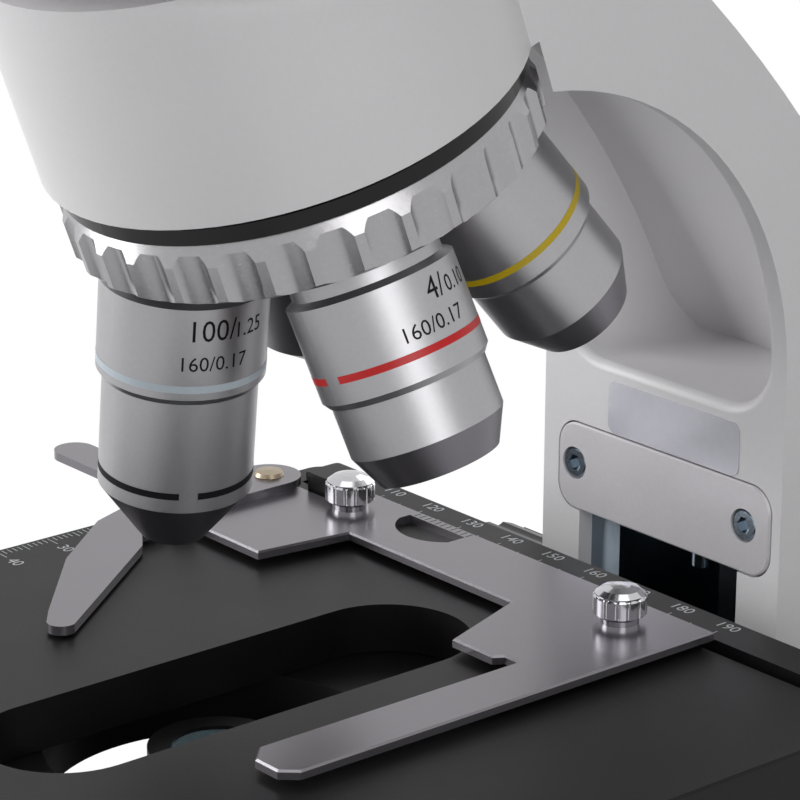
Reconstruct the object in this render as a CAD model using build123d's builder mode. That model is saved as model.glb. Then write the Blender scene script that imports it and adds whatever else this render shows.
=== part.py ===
from build123d import *
import os
from math import atan2, cos, degrees, radians, sin, sqrt

# A binocular biological microscope in millimetres. It stands on its feet at z = 0, +Z is up,
# the user sits on the -Y side, and the optical axis is the vertical line x = 0, y = AXIS_Y.
# Heights are above the bench. "Depth" values named *_y are measured from the optical axis,
# positive towards the arm.

AXIS_Y = -12.88
FIT = 0.05
GAP = 0.3

# Base
BASE_HALF_FRONT = 76
BASE_HALF_REAR = 98
BASE_FRONT_Y = -84
BASE_WIDE_Y = 66
BASE_REAR_Y = 153
BASE_TOP = 44
BASE_WALL = 4
FOOT_H = 4
FOOT_R = 10
FOOT_INSET = 22
BOTTOM_PLATE_T = 2.5
COLLECTOR_R = 27
COLLECTOR_BORE_R = 18
COLLECTOR_TOP = 60
FIELD_LENS_T = 5
LAMP_R = 16
JACK_X = -46
JACK_R = 5.5
PANEL_Z = 24
SWITCH_X = 44
SWITCH_W = 20
SWITCH_H = 13
DIAL_Y = 10
DIAL_R = 12
DIAL_PROUD = 6.6

# Arm: a column with a C-shaped upper part, open in front above the shelf
ARM_W = 55
ARM_FACE_Y = 90.5
ARM_WALL = 4.2
SHELF_Z = 180.5
THROAT_Y = 37
THROAT_Z = 187
THROAT_R = ARM_FACE_Y - THROAT_Y
BACK_FOOT_Y = 150
BACK_LOW = (137, 150)
BACK_MID = (104, 213)
BACK_TOP = (33, 278)
PLATFORM_Z = 290
PLATFORM_R = 37.5
HEAD_BORE_R = 13
LOCK_Z = PLATFORM_Z - 5
LOCK_SCREW_R = 2
SLOT_HALF = 18.5
SLOT_TOP = 153.3
SLOT_BOTTOM = 62
SLOT_DEPTH = 26
JAMB = 3
STOP_PLATE_W = 49
STOP_PLATE_H = 15.1
STOP_PLATE_T = 2
STOP_PLATE_X = 0.9
STOP_SCREW_X = 19.7
STOP_SCREW_Z = 161.3
STOP_ROD_X = 3
STOP_ROD_Y = 98.5
STOP_ROD_LEN = 5.8

# Focus drive
PINION_TEETH = 15
MODULE = 0.8
PITCH_R = PINION_TEETH * MODULE / 2
TOOTH_TIP = 0.5
TOOTH_ROOT = 0.9
RACK_FACE_Y = 97.5
FOCUS_Y = RACK_FACE_Y + PITCH_R
FOCUS_Z = 109.5
FOCUS_UP = 17
FOCUS_DOWN = 6.5
SHAFT_R = 5
FINE_SHAFT_R = 2.5
COARSE_R = 26
COARSE_W = 24
FINE_R = 17
FINE_W = 18
KNOB_START = 37
TENSION_R = 23
TENSION_W = 5
BOSS_W = KNOB_START - ARM_W / 2 - TENSION_W - 0.6
SCREW_HEAD_R = 2.6

# Turret and objectives: stations are distances from the apex, where all the axes meet
TILT = 20.45
APEX_Z = 274.1
TURRET_REST = -23.06
BOWL_R = 36.5
BOWL_END = 37.4
NECK_END = 41.0
NECK_R = 34.85
RING_START = 41.3
RING_BEVEL_END = 44.2
RING_R = 35.6
RING_END = 50.5
RING_LIP_R = 31.2
SCALLOPS = 32
SCALLOP_R = 4.2
SCALLOP_DEPTH = 1.15
SEAT = 54
SHOULDER = 59
BARREL_START = 61.6
PIVOT_R = 8
THREAD_R = 10.16
COLLAR_R = 11.2
BARREL_R = 12.5
NOSE_TRAVEL = 3

# Stage
RULER_Z = 152
STAGE_TOP = RULER_Z - 1
STAGE_T = 8
STAGE_LEFT = -69.3
STAGE_RIGHT = 70.7
STAGE_REAR_Y = 76.3
STAGE_FRONT_Y = -65.7
RAIL_Y = 69
STAGE_R = 4
APERTURE_HALF = 13
APERTURE_FRONT_Y = -40
APERTURE_REAR_Y = 46
LOWER_T = 10
LOWER_HALF = 50
LOWER_FRONT_Y = -48
LOWER_REAR_Y = 62
GUIDE_X = 42
GUIDE_W = 5
GUIDE_MID_Y = -15
GUIDE_LEN = 58
Y_FORWARD = 27
Y_BACK = 8
DRIVE_X = 58
DRIVE_Y = 54
DRUM_R = 5
BELT_T = 0.5
X_KNOB_R = 10.5
Y_KNOB_R = 13
HOLDER_T = 1.4
HOLDER_BOTTOM = RULER_Z + 0.1
HOLDER_TOP = HOLDER_BOTTOM + HOLDER_T
LEVER_T = 1.5
LEVER_DROP = 2
PIVOT_X = -61.5
PIVOT_Y = 57.8
RIVET_R = 1.5
THUMB_SPOTS = [(-43.4, 61), (22.8, 60.4)]

# Condenser
CONDENSER_UP = 7
CONDENSER_DOWN = 14
CONDENSER_TIP = 142
CONDENSER_TIP_R = 10.5
CONDENSER_R = 18.5
CARRIER_R = 25
FILTER_R = 20

# Head
HEAD_BASE_R = 30
HEAD_W = 58
HEAD_TILT = 30
HUB_Y = -26
HUB_Z = 322
HUB_R = 17
HUB_LAYER = 15
PRISM_R = 16.4
PUPIL_ARM = 37.5
PUPIL_REST = 64
TUBE_R = 14.5
TUBE_LEN = 34
EYEPIECE_R = 16.5
EYEPIECE_LEN = 24
EYECUP_LEN = 14

os.makedirs("parts", exist_ok=True)


def keep(piece, label):
    """Name a finished piece and write it to its own STEP file."""
    piece.part.label = label
    export_step(piece.part, f"parts/{label}.step")


def level(z, x=0, y=0):
    """A horizontal plane whose origin is x, y away from the optical axis."""
    return Plane(origin=(x, AXIS_Y + y, z))


def side(x=0):
    """A plane seen from the right-hand side: its x is depth, its y is height."""
    return Plane(origin=(x, AXIS_Y, 0), x_dir=(0, 1, 0), z_dir=(1, 0, 0))


def face_on(y):
    """An upright plane at depth y, seen from the front."""
    return Plane(origin=(0, AXIS_Y + y, 0), x_dir=(1, 0, 0), z_dir=(0, -1, 0))


def along(origin, direction):
    """A meridian plane: its y runs along the direction, its x is a radius."""
    direction = Vector(*direction).normalized()
    sideways = Vector(0, 0, 1) if abs(direction.Z) < 0.9 else Vector(1, 0, 0)
    radius = direction.cross(sideways).normalized()
    return Plane(origin=origin, x_dir=radius, z_dir=radius.cross(direction))


def turned(plane, *outlines):
    """Spin closed outlines of (radius, station) points about the plane's y direction."""
    with BuildPart() as piece:
        with BuildSketch(plane):
            for outline in outlines:
                with BuildLine():
                    Polyline(*outline, close=True)
                make_face()
        revolve(axis=Axis(plane.origin, plane.y_dir))
    return piece


def tube_outline(inner, outer, start, end, chamfer_end=0):
    """The half section of a plain ring or rod, with an optional chamfer at its end."""
    if chamfer_end:
        return [(inner, start), (outer, start), (outer, end - chamfer_end),
                (outer - chamfer_end, end), (inner, end)]
    return [(inner, start), (outer, start), (outer, end), (inner, end)]


def lens_part(plane, radius, start, edge_end, rise):
    """A plano-convex lens along the plane's y direction, domed at its far side."""
    dome_r = (radius ** 2 + rise ** 2) / (2 * rise)
    half = atan2(radius, dome_r - rise) / 2
    middle = (dome_r * sin(half), edge_end + rise - dome_r * (1 - cos(half)))
    with BuildPart() as piece:
        with BuildSketch(plane):
            with BuildLine():
                Polyline((0, edge_end + rise), (0, start), (radius, start), (radius, edge_end))
                ThreePointArc((radius, edge_end), middle, (0, edge_end + rise))
            make_face()
        revolve(axis=Axis(plane.origin, plane.y_dir))
    return piece


def pinion(teeth, width_start, width_end, bore):
    """A small spur pinion along x, with plain tapered teeth and generous backlash."""
    root = PITCH_R - TOOTH_ROOT
    with BuildPart() as piece:
        with BuildSketch(Plane.YZ.offset(width_start)):
            Circle(root)
            with PolarLocations(root - 0.3, teeth):
                Polygon((0, -0.62), (TOOTH_ROOT + TOOTH_TIP + 0.3, -0.24),
                        (TOOTH_ROOT + TOOTH_TIP + 0.3, 0.24), (0, 0.62), align=None)
            if bore:
                Circle(bore, mode=Mode.SUBTRACT)
        extrude(amount=width_end - width_start)
    return piece.part


def rack(start, end, width, back):
    """A rack along x with a tooth at x = 0: teeth point to +y, and y = 0 is the pitch line."""
    pitch = MODULE * 3.14159265
    teeth = [number * pitch for number in range(-40, 41) if start + 1 < number * pitch < end - 1]
    with BuildPart() as piece:
        with BuildSketch(Plane.XY):
            with Locations(((start + end) / 2, -TOOTH_ROOT - back / 2)):
                Rectangle(end - start, back)
            with Locations(*[(place, 0) for place in teeth]):
                Polygon((-0.62, -TOOTH_ROOT - 0.1), (0.62, -TOOTH_ROOT - 0.1),
                        (0.24, TOOTH_TIP), (-0.24, TOOTH_TIP), align=None)
        extrude(amount=width / 2, both=True)
    return piece.part


def fluted_knob(plane, radius, width, flutes, flute_r, bore=0, dish=0, stem_r=0, stem=0):
    """A knob along the plane's normal: fluted rim, dished face, and a stem behind it."""
    with BuildPart() as knob:
        with BuildSketch(plane):
            Circle(radius)
            with PolarLocations(radius + flute_r * 0.62, flutes):
                Circle(flute_r, mode=Mode.SUBTRACT)
        extrude(amount=width)
        chamfer(knob.faces().sort_by(Axis(plane.origin, plane.z_dir))[-1].outer_wire().edges(), 0.7)
        if dish:
            with BuildSketch(plane.offset(width)):
                Circle(radius - 4.5)
            extrude(amount=-dish, mode=Mode.SUBTRACT)
        if bore:
            with BuildSketch(plane):
                Circle(bore)
            extrude(amount=width, mode=Mode.SUBTRACT)
        if stem:
            with BuildSketch(plane):
                Circle(stem_r)
            extrude(amount=-stem)
    return knob


# Base casting: a tapered foot print, hollow from below
def base_outline(inset):
    with BuildSketch() as outline:
        with BuildLine():
            Polyline((-BASE_HALF_FRONT, BASE_FRONT_Y), (BASE_HALF_FRONT, BASE_FRONT_Y),
                     (BASE_HALF_REAR, BASE_WIDE_Y), (BASE_HALF_REAR, BASE_REAR_Y),
                     (-BASE_HALF_REAR, BASE_REAR_Y), (-BASE_HALF_REAR, BASE_WIDE_Y), close=True)
        make_face()
        fillet(outline.vertices().group_by(Axis.Y)[0], 34)
        fillet(outline.vertices().group_by(Axis.Y)[-1], 20)
        if inset:
            offset(amount=-inset)
    return outline.sketch


POST_SPOTS = [(-BASE_HALF_FRONT + 26, BASE_FRONT_Y + 26), (BASE_HALF_FRONT - 26, BASE_FRONT_Y + 26),
              (-BASE_HALF_REAR + 22, BASE_REAR_Y - 22), (BASE_HALF_REAR - 22, BASE_REAR_Y - 22)]
FOOT_SPOTS = [(-BASE_HALF_FRONT + FOOT_INSET, BASE_FRONT_Y + FOOT_INSET + 6),
              (BASE_HALF_FRONT - FOOT_INSET, BASE_FRONT_Y + FOOT_INSET + 6),
              (-BASE_HALF_REAR + FOOT_INSET, BASE_REAR_Y - FOOT_INSET + 2),
              (BASE_HALF_REAR - FOOT_INSET, BASE_REAR_Y - FOOT_INSET + 2)]
POST_SPOTS = [(x * 0.78, y * 0.86) for x, y in FOOT_SPOTS]
SIDE_SLOPE = atan2(BASE_HALF_REAR - BASE_HALF_FRONT, BASE_WIDE_Y - BASE_FRONT_Y)
DIAL_WALL_X = BASE_HALF_FRONT + (DIAL_Y - BASE_FRONT_Y) * sin(SIDE_SLOPE) / cos(SIDE_SLOPE)
dial_plane = Plane(origin=(DIAL_WALL_X, AXIS_Y + DIAL_Y, PANEL_Z),
                   z_dir=(cos(SIDE_SLOPE), -sin(SIDE_SLOPE), 0), x_dir=(0, 0, 1))
rear_panel = Plane(origin=(0, AXIS_Y + BASE_REAR_Y, PANEL_Z), x_dir=(-1, 0, 0), z_dir=(0, 1, 0))

with BuildPart() as base_casting:
    with BuildSketch(level(FOOT_H)):
        add(base_outline(0))
    extrude(amount=BASE_TOP - FOOT_H)
    fillet(base_casting.faces().sort_by(Axis.Z)[-1].edges(), 6)
    with BuildSketch(level(FOOT_H)):
        add(base_outline(BASE_WALL))
    extrude(amount=BASE_TOP - BASE_WALL - FOOT_H, mode=Mode.SUBTRACT)
    with BuildSketch(level(FOOT_H + BOTTOM_PLATE_T)):
        with Locations(*POST_SPOTS):
            Circle(6)
    extrude(amount=BASE_TOP - BASE_WALL - FOOT_H - BOTTOM_PLATE_T + 1)
    with BuildSketch(level(BASE_TOP)):
        Circle(COLLECTOR_BORE_R + 2 + FIT)
    extrude(amount=-BASE_WALL * 2, mode=Mode.SUBTRACT)
    with BuildSketch(rear_panel):
        with Locations((-JACK_X, 0)):
            Circle(JACK_R + FIT)
        with Locations((-SWITCH_X, 0)):
            Rectangle(SWITCH_W + 2 * FIT, SWITCH_H + 2 * FIT)
    extrude(amount=-BASE_WALL * 2, mode=Mode.SUBTRACT)
    with BuildSketch(dial_plane):
        Circle(3 + FIT)
    extrude(amount=-BASE_WALL * 2, mode=Mode.SUBTRACT)
keep(base_casting, "base_casting")

with BuildPart() as bottom_plate:
    with BuildSketch(level(FOOT_H)):
        add(base_outline(BASE_WALL + GAP))
    extrude(amount=BOTTOM_PLATE_T)
    with BuildSketch(level(FOOT_H)):
        with GridLocations(9, 0, 9, 1):
            SlotOverall(34, 3.4, rotation=90)
    extrude(amount=BOTTOM_PLATE_T, mode=Mode.SUBTRACT)
keep(bottom_plate, "base_bottom_plate")

with BuildPart() as rubber_feet:
    with BuildSketch(level(0)):
        with Locations(*FOOT_SPOTS):
            Circle(FOOT_R)
    extrude(amount=FOOT_H)
    chamfer(rubber_feet.faces().group_by(Axis.Z)[0].edges(), 1)
keep(rubber_feet, "rubber_feet")

# Illuminator: a collector ring with its field lens over a lamp on the bottom plate
axis_plane = along((0, AXIS_Y, 0), (0, 0, 1))
lens_seat = COLLECTOR_TOP - FIELD_LENS_T - 2
collector = turned(axis_plane, [
    (COLLECTOR_BORE_R - 1.5, BASE_TOP - 6), (COLLECTOR_BORE_R + 2, BASE_TOP - 6),
    (COLLECTOR_BORE_R + 2, BASE_TOP), (COLLECTOR_R, BASE_TOP), (COLLECTOR_R, COLLECTOR_TOP - 3),
    (COLLECTOR_R - 3, COLLECTOR_TOP), (COLLECTOR_BORE_R + FIT, COLLECTOR_TOP),
    (COLLECTOR_BORE_R + FIT, lens_seat), (COLLECTOR_BORE_R - 1.5, lens_seat)])
keep(collector, "collector_housing")

lens = lens_part(axis_plane, COLLECTOR_BORE_R, lens_seat, lens_seat + 2, FIELD_LENS_T - 2)
keep(lens, "field_lens")

lamp_base = FOOT_H + BOTTOM_PLATE_T
fins = []
for level_number in range(4):
    fins += [(LAMP_R, lamp_base + 3 + 5 * level_number), (LAMP_R, lamp_base + 5.5 + 5 * level_number),
             (LAMP_R - 6, lamp_base + 5.5 + 5 * level_number), (LAMP_R - 6, lamp_base + 8 + 5 * level_number)]
lamp = turned(axis_plane, [(0, lamp_base), (LAMP_R + 4, lamp_base), (LAMP_R + 4, lamp_base + 3)] + fins
              + [(3, lamp_base + 23), (2, lamp_base + 25), (0, lamp_base + 25.5)])
keep(lamp, "lamp_module")

with BuildPart() as power_inlet:
    with BuildSketch(rear_panel):
        with Locations((-JACK_X, 0)):
            Circle(JACK_R + 2)
    extrude(amount=1.5)
    with BuildSketch(rear_panel):
        with Locations((-JACK_X, 0)):
            Circle(JACK_R)
    extrude(amount=-14)
    with BuildSketch(rear_panel.offset(1.5)):
        with Locations((-JACK_X, 0)):
            Circle(2.8)
            Circle(1.0, mode=Mode.SUBTRACT)
    extrude(amount=-10, mode=Mode.SUBTRACT)
keep(power_inlet, "power_inlet")

# Rocker switch: a bezel in the rear wall and the rocker on its pin
with BuildPart() as switch_bezel:
    with BuildSketch(rear_panel):
        with Locations((-SWITCH_X, 0)):
            RectangleRounded(SWITCH_W + 4, SWITCH_H + 4, 1.5)
    extrude(amount=1.5)
    with BuildSketch(rear_panel):
        with Locations((-SWITCH_X, 0)):
            Rectangle(SWITCH_W, SWITCH_H)
    extrude(amount=-12)
    with BuildSketch(rear_panel.offset(1.5)):
        with Locations((-SWITCH_X, 0)):
            Rectangle(SWITCH_W - 3, SWITCH_H - 3)
    extrude(amount=-11, mode=Mode.SUBTRACT)
    with BuildSketch(side(SWITCH_X)):
        with Locations((BASE_REAR_Y - 4, PANEL_Z)):
            Circle(1)
    extrude(amount=SWITCH_W / 2 - 1, both=True)
keep(switch_bezel, "switch_bezel")

ROCKER_PIN_Y = BASE_REAR_Y - 4
with BuildPart() as rocker:
    with BuildSketch(side(SWITCH_X)):
        with BuildLine():
            Polyline((ROCKER_PIN_Y - 2.5, PANEL_Z - 2.5), (ROCKER_PIN_Y - 2.5, PANEL_Z + 2.5),
                     (ROCKER_PIN_Y + 3.6, PANEL_Z + SWITCH_H / 2 - 2.4),
                     (ROCKER_PIN_Y + 7, PANEL_Z + SWITCH_H / 2 - 3.2),
                     (ROCKER_PIN_Y + 5.2, PANEL_Z),
                     (ROCKER_PIN_Y + 5.2, PANEL_Z - SWITCH_H / 2 + 2.6),
                     (ROCKER_PIN_Y + 3.6, PANEL_Z - SWITCH_H / 2 + 2.2), close=True)
        make_face()
        with Locations((ROCKER_PIN_Y, PANEL_Z)):
            Circle(1 + FIT, mode=Mode.SUBTRACT)
    extrude(amount=SWITCH_W / 2 - 1.8, both=True)
keep(rocker, "power_rocker")

dial = fluted_knob(dial_plane.offset(0.4), DIAL_R, DIAL_PROUD - 0.4, 30, 0.9, stem_r=3, stem=9)
keep(dial, "brightness_dial")


# Turret frame: the axis leaves the apex down and back, x to the right, y towards the user
tilt = radians(TILT)
apex = Vector(0, AXIS_Y, APEX_Z)
turret_axis = Vector(0, sin(tilt), -cos(tilt))
turret_plane = Plane(origin=apex, x_dir=(1, 0, 0), z_dir=turret_axis)
turret_meridian = along(apex, turret_axis)


def objective_axis(position):
    """The direction of an objective that stands position degrees round the turret."""
    around = radians(position)
    return (turret_axis * cos(tilt) + turret_plane.y_dir * (sin(tilt) * cos(around))
            + turret_plane.x_dir * (sin(tilt) * sin(around)))


def seat_height(radius):
    """Where the cone through every objective's seat stands at this distance from the turret axis."""
    return (SEAT - radius * sin(tilt)) / cos(tilt)


# Arm casting
def back_slope(inset):
    """The rear outline of the arm, moved inwards by inset."""
    low = (BACK_LOW[0] - inset, BACK_LOW[1])
    middle = (BACK_MID[0] - inset * 0.8, BACK_MID[1] - inset * 0.6)
    top = (BACK_TOP[0] - inset * 0.45, BACK_TOP[1] - inset * 0.9)
    return low, middle, top


with BuildPart() as arm:
    low, middle, top = back_slope(0)
    throat_mid = (THROAT_Y + THROAT_R * cos(radians(45)), THROAT_Z + THROAT_R * sin(radians(45)))
    with BuildSketch(side()):
        with BuildLine():
            Polyline((ARM_FACE_Y, THROAT_Z), (ARM_FACE_Y, BASE_TOP), (BACK_FOOT_Y, BASE_TOP), low)
            ThreePointArc(low, middle, top)
            Polyline(top, (0, BACK_TOP[1]), (0, THROAT_Z + THROAT_R), (THROAT_Y, THROAT_Z + THROAT_R))
            ThreePointArc((THROAT_Y, THROAT_Z + THROAT_R), throat_mid, (ARM_FACE_Y, THROAT_Z))
        make_face()
    extrude(amount=ARM_W / 2, both=True)
    fillet(arm.edges().filter_by_position(Axis.Z, BASE_TOP + 1, SHELF_Z - 1)
           .group_by(Axis.Y)[-1], 10)
    low, middle, top = back_slope(ARM_WALL)
    shelf_back = low[0] + (BACK_MID[0] - BACK_LOW[0]) * (SHELF_Z - BACK_LOW[1]) / (BACK_MID[1] - BACK_LOW[1])
    with BuildSketch(side()):
        with BuildLine():
            Polyline((shelf_back, SHELF_Z), (THROAT_Y - 60, SHELF_Z), (THROAT_Y - 60, THROAT_Z + 40),
                     (THROAT_Y, BACK_TOP[1] - 18), (THROAT_Y + 14, top[1] - 16))
            ThreePointArc((THROAT_Y + 14, top[1] - 16), middle, (shelf_back, SHELF_Z))
        make_face()
    extrude(amount=ARM_W / 2 - ARM_WALL, both=True, mode=Mode.SUBTRACT)
    shelf_edges = arm.edges().filter_by_position(Axis.Z, SHELF_Z - 0.1, SHELF_Z + 0.1)
    fillet(shelf_edges.filter_by(Axis.Y), 9)
    with BuildSketch(level(PLATFORM_Z)):
        Circle(PLATFORM_R)
    extrude(amount=-(PLATFORM_Z - 262))
    with BuildSketch(turret_plane.offset(4)):
        Circle(BOWL_R)
    extrude(amount=BOWL_END - 4)
    bowl_rim = arm.edges().filter_by(GeomType.CIRCLE).sort_by(Axis(apex, turret_axis))[-1]
    fillet(bowl_rim, 1.6)
    with BuildSketch(turret_plane.offset(BOWL_END)):
        Circle(RING_R + 2)
    extrude(amount=22, mode=Mode.SUBTRACT)
    with BuildSketch(level(PLATFORM_Z)):
        Circle(HEAD_BORE_R)
    extrude(amount=-70, mode=Mode.SUBTRACT)
    with BuildSketch(face_on(ARM_FACE_Y)):
        with Locations((0, (SLOT_TOP + SLOT_BOTTOM) / 2)):
            Rectangle(2 * SLOT_HALF, SLOT_TOP - SLOT_BOTTOM)
    extrude(amount=-SLOT_DEPTH, mode=Mode.SUBTRACT)
    with BuildSketch(face_on(ARM_FACE_Y)):
        with Locations((STOP_PLATE_X, SLOT_TOP + STOP_PLATE_H / 2)):
            RectangleRounded(STOP_PLATE_W + 2 * GAP, STOP_PLATE_H + 2 * GAP, 4.5)
    extrude(amount=-STOP_PLATE_T, mode=Mode.SUBTRACT)
    with BuildSketch(face_on(ARM_FACE_Y - STOP_PLATE_T)):
        with Locations((-STOP_SCREW_X, STOP_SCREW_Z), (STOP_SCREW_X, STOP_SCREW_Z)):
            Circle(1.5 + FIT)
    extrude(amount=-12, mode=Mode.SUBTRACT)
    with BuildSketch(level(SLOT_TOP, STOP_ROD_X, STOP_ROD_Y)):
        Circle(1.2 + FIT)
    extrude(amount=9, mode=Mode.SUBTRACT)
    with BuildSketch(side(ARM_W / 2)):
        with Locations((FOCUS_Y, FOCUS_Z)):
            Circle(TENSION_R)
    extrude(amount=BOSS_W)
    with BuildSketch(side(-ARM_W / 2)):
        with Locations((FOCUS_Y, FOCUS_Z)):
            Circle(TENSION_R)
    extrude(amount=-(KNOB_START - GAP - ARM_W / 2))
    with BuildSketch(side()):
        with Locations((FOCUS_Y, FOCUS_Z)):
            Circle(SHAFT_R + FIT)
    extrude(amount=ARM_W, both=True, mode=Mode.SUBTRACT)
    with BuildSketch(side()):
        with Locations((FOCUS_Y, FOCUS_Z)):
            Circle(PITCH_R + 2)
    extrude(amount=SLOT_HALF, both=True, mode=Mode.SUBTRACT)
    with BuildSketch(side()):
        with Locations((0, LOCK_Z)):
            Circle(LOCK_SCREW_R + FIT)
    extrude(amount=60, mode=Mode.SUBTRACT)
keep(arm, "arm_casting")

# Cover plate over the slot, its two screws and the rod that stops the carriage
with BuildPart() as stop_plate:
    with BuildSketch(face_on(ARM_FACE_Y + STOP_PLATE_T)):
        with Locations((STOP_PLATE_X, SLOT_TOP + STOP_PLATE_H / 2)):
            RectangleRounded(STOP_PLATE_W, STOP_PLATE_H, 4.2)
    extrude(amount=STOP_PLATE_T + GAP)
    chamfer(stop_plate.faces().sort_by(Axis.Y)[0].edges(), 0.3)
    with BuildSketch(face_on(ARM_FACE_Y - GAP)):
        with Locations((-STOP_SCREW_X, STOP_SCREW_Z), (STOP_SCREW_X, STOP_SCREW_Z)):
            Circle(1.5 + FIT)
    extrude(amount=-STOP_PLATE_T - GAP, mode=Mode.SUBTRACT)
    with BuildSketch(face_on(ARM_FACE_Y - GAP)):
        with Locations((-STOP_SCREW_X, STOP_SCREW_Z), (STOP_SCREW_X, STOP_SCREW_Z)):
            Circle(SCREW_HEAD_R + 0.2)
    extrude(amount=-1.4, mode=Mode.SUBTRACT)
keep(stop_plate, "stop_plate")

with BuildPart() as stop_screws:
    with BuildSketch(face_on(ARM_FACE_Y - GAP + 1.4)):
        with Locations((-STOP_SCREW_X, STOP_SCREW_Z), (STOP_SCREW_X, STOP_SCREW_Z)):
            Circle(SCREW_HEAD_R)
    extrude(amount=1.2)
    chamfer(stop_screws.faces().group_by(Axis.Y)[0].edges(), 0.3)
    with BuildSketch(face_on(ARM_FACE_Y - GAP + 1.4)):
        with Locations((-STOP_SCREW_X, STOP_SCREW_Z), (STOP_SCREW_X, STOP_SCREW_Z)):
            Circle(1.5)
    extrude(amount=-8)
    with BuildSketch(face_on(ARM_FACE_Y - GAP + 0.2)):
        with Locations((-STOP_SCREW_X, STOP_SCREW_Z), (STOP_SCREW_X, STOP_SCREW_Z)):
            RegularPolygon(1.45, 6)
    extrude(amount=-0.9, mode=Mode.SUBTRACT)
keep(stop_screws, "stop_plate_screws")

rod_axis = along((STOP_ROD_X, AXIS_Y + STOP_ROD_Y, SLOT_TOP), (0, 0, -1))
stop_rod = turned(rod_axis, [(0, -7), (1.2, -7), (1.2, STOP_ROD_LEN - 3), (1.95, STOP_ROD_LEN - 3),
                             (1.95, STOP_ROD_LEN - 0.4), (1.5, STOP_ROD_LEN), (0, STOP_ROD_LEN)])
keep(stop_rod, "focus_stop_screw")

# Focus drive: a guide lines the slot, the carriage slides in it on a rack
GUIDE_FRONT = ARM_FACE_Y + JAMB
LIP_T = 1.5
CARRIAGE_HALF = 11.5
FLANGE_HALF = 15
carriage_top = SLOT_TOP - STOP_ROD_LEN - GAP - FOCUS_UP
CARRIAGE_BOTTOM = 78
with BuildPart() as focus_guide:
    with BuildSketch(level(SLOT_BOTTOM)):
        with BuildLine():
            Polyline((-SLOT_HALF, GUIDE_FRONT), (-CARRIAGE_HALF - 0.2, GUIDE_FRONT),
                     (-CARRIAGE_HALF - 0.2, GUIDE_FRONT + LIP_T), (-FLANGE_HALF - 0.2, GUIDE_FRONT + LIP_T),
                     (-FLANGE_HALF - 0.2, ARM_FACE_Y + SLOT_DEPTH - 2),
                     (FLANGE_HALF + 0.2, ARM_FACE_Y + SLOT_DEPTH - 2),
                     (FLANGE_HALF + 0.2, GUIDE_FRONT + LIP_T), (CARRIAGE_HALF + 0.2, GUIDE_FRONT + LIP_T),
                     (CARRIAGE_HALF + 0.2, GUIDE_FRONT), (SLOT_HALF, GUIDE_FRONT),
                     (SLOT_HALF, ARM_FACE_Y + SLOT_DEPTH), (-SLOT_HALF, ARM_FACE_Y + SLOT_DEPTH), close=True)
        make_face()
    extrude(amount=SLOT_TOP - SLOT_BOTTOM)
    with BuildSketch(side()):
        with Locations((FOCUS_Y, FOCUS_Z)):
            Circle(PITCH_R + 1.5)
    extrude(amount=SLOT_HALF, both=True, mode=Mode.SUBTRACT)
keep(focus_guide, "focus_guide")

focus_centre = (0, AXIS_Y + FOCUS_Y, FOCUS_Z)
shaft_plane = along(focus_centre, (1, 0, 0))
coarse_end = KNOB_START + COARSE_W
fine_start = coarse_end + GAP
fine_end = fine_start + FINE_W
focus_frame = Plane(origin=focus_centre, x_dir=(1, 0, 0), z_dir=(0, 0, 1))
with BuildPart() as coarse_shaft:
    add(turned(shaft_plane, tube_outline(FINE_SHAFT_R + FIT, SHAFT_R, 4 - coarse_end, coarse_end - 4)).part)
    add(focus_frame * pinion(PINION_TEETH, -7, 7, SHAFT_R - 0.5))
keep(coarse_shaft, "coarse_shaft")

tension_plane = Plane(origin=(ARM_W / 2 + BOSS_W + GAP, AXIS_Y + FOCUS_Y, FOCUS_Z), z_dir=(1, 0, 0))
tension_ring = fluted_knob(tension_plane, TENSION_R, TENSION_W, 36, 1.1, SHAFT_R + FIT)
keep(tension_ring, "tension_ring")

for name, sign in (("right", 1), ("left", -1)):
    face = Plane(origin=(sign * KNOB_START, AXIS_Y + FOCUS_Y, FOCUS_Z), x_dir=(0, sign, 0), z_dir=(sign, 0, 0))
    coarse = fluted_knob(face, COARSE_R, COARSE_W, 28, 2.2, SHAFT_R, dish=4)
    keep(coarse, "coarse_knob_" + name)

for name, sign in (("right", 1), ("left", -1)):
    face = Plane(origin=(sign * fine_start, AXIS_Y + FOCUS_Y, FOCUS_Z), x_dir=(0, sign, 0), z_dir=(sign, 0, 0))
    fine = fluted_knob(face, FINE_R, FINE_W, 24, 1.5, FINE_SHAFT_R if sign < 0 else 0, dish=2,
                       stem_r=FINE_SHAFT_R, stem=fine_start + fine_start if sign > 0 else 0)
    keep(fine, "fine_knob_" + name)

# Revolving nosepiece: a fixed black neck with the bearing spigot, and the scalloped ring on it
neck_outline = [
    (0, BOWL_END), (NECK_R - 1.6, BOWL_END), (NECK_R - 1.6, BOWL_END + 1.1), (NECK_R, BOWL_END + 1.1),
    (NECK_R, NECK_END), (PIVOT_R, NECK_END), (PIVOT_R, seat_height(0)), (0, seat_height(0))]
with BuildPart() as nosepiece_base:
    add(turned(turret_meridian, neck_outline).part)
    with BuildSketch(level(APEX_Z)):
        Circle(9)
    extrude(amount=-60, mode=Mode.SUBTRACT)
keep(nosepiece_base, "nosepiece_base")

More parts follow.
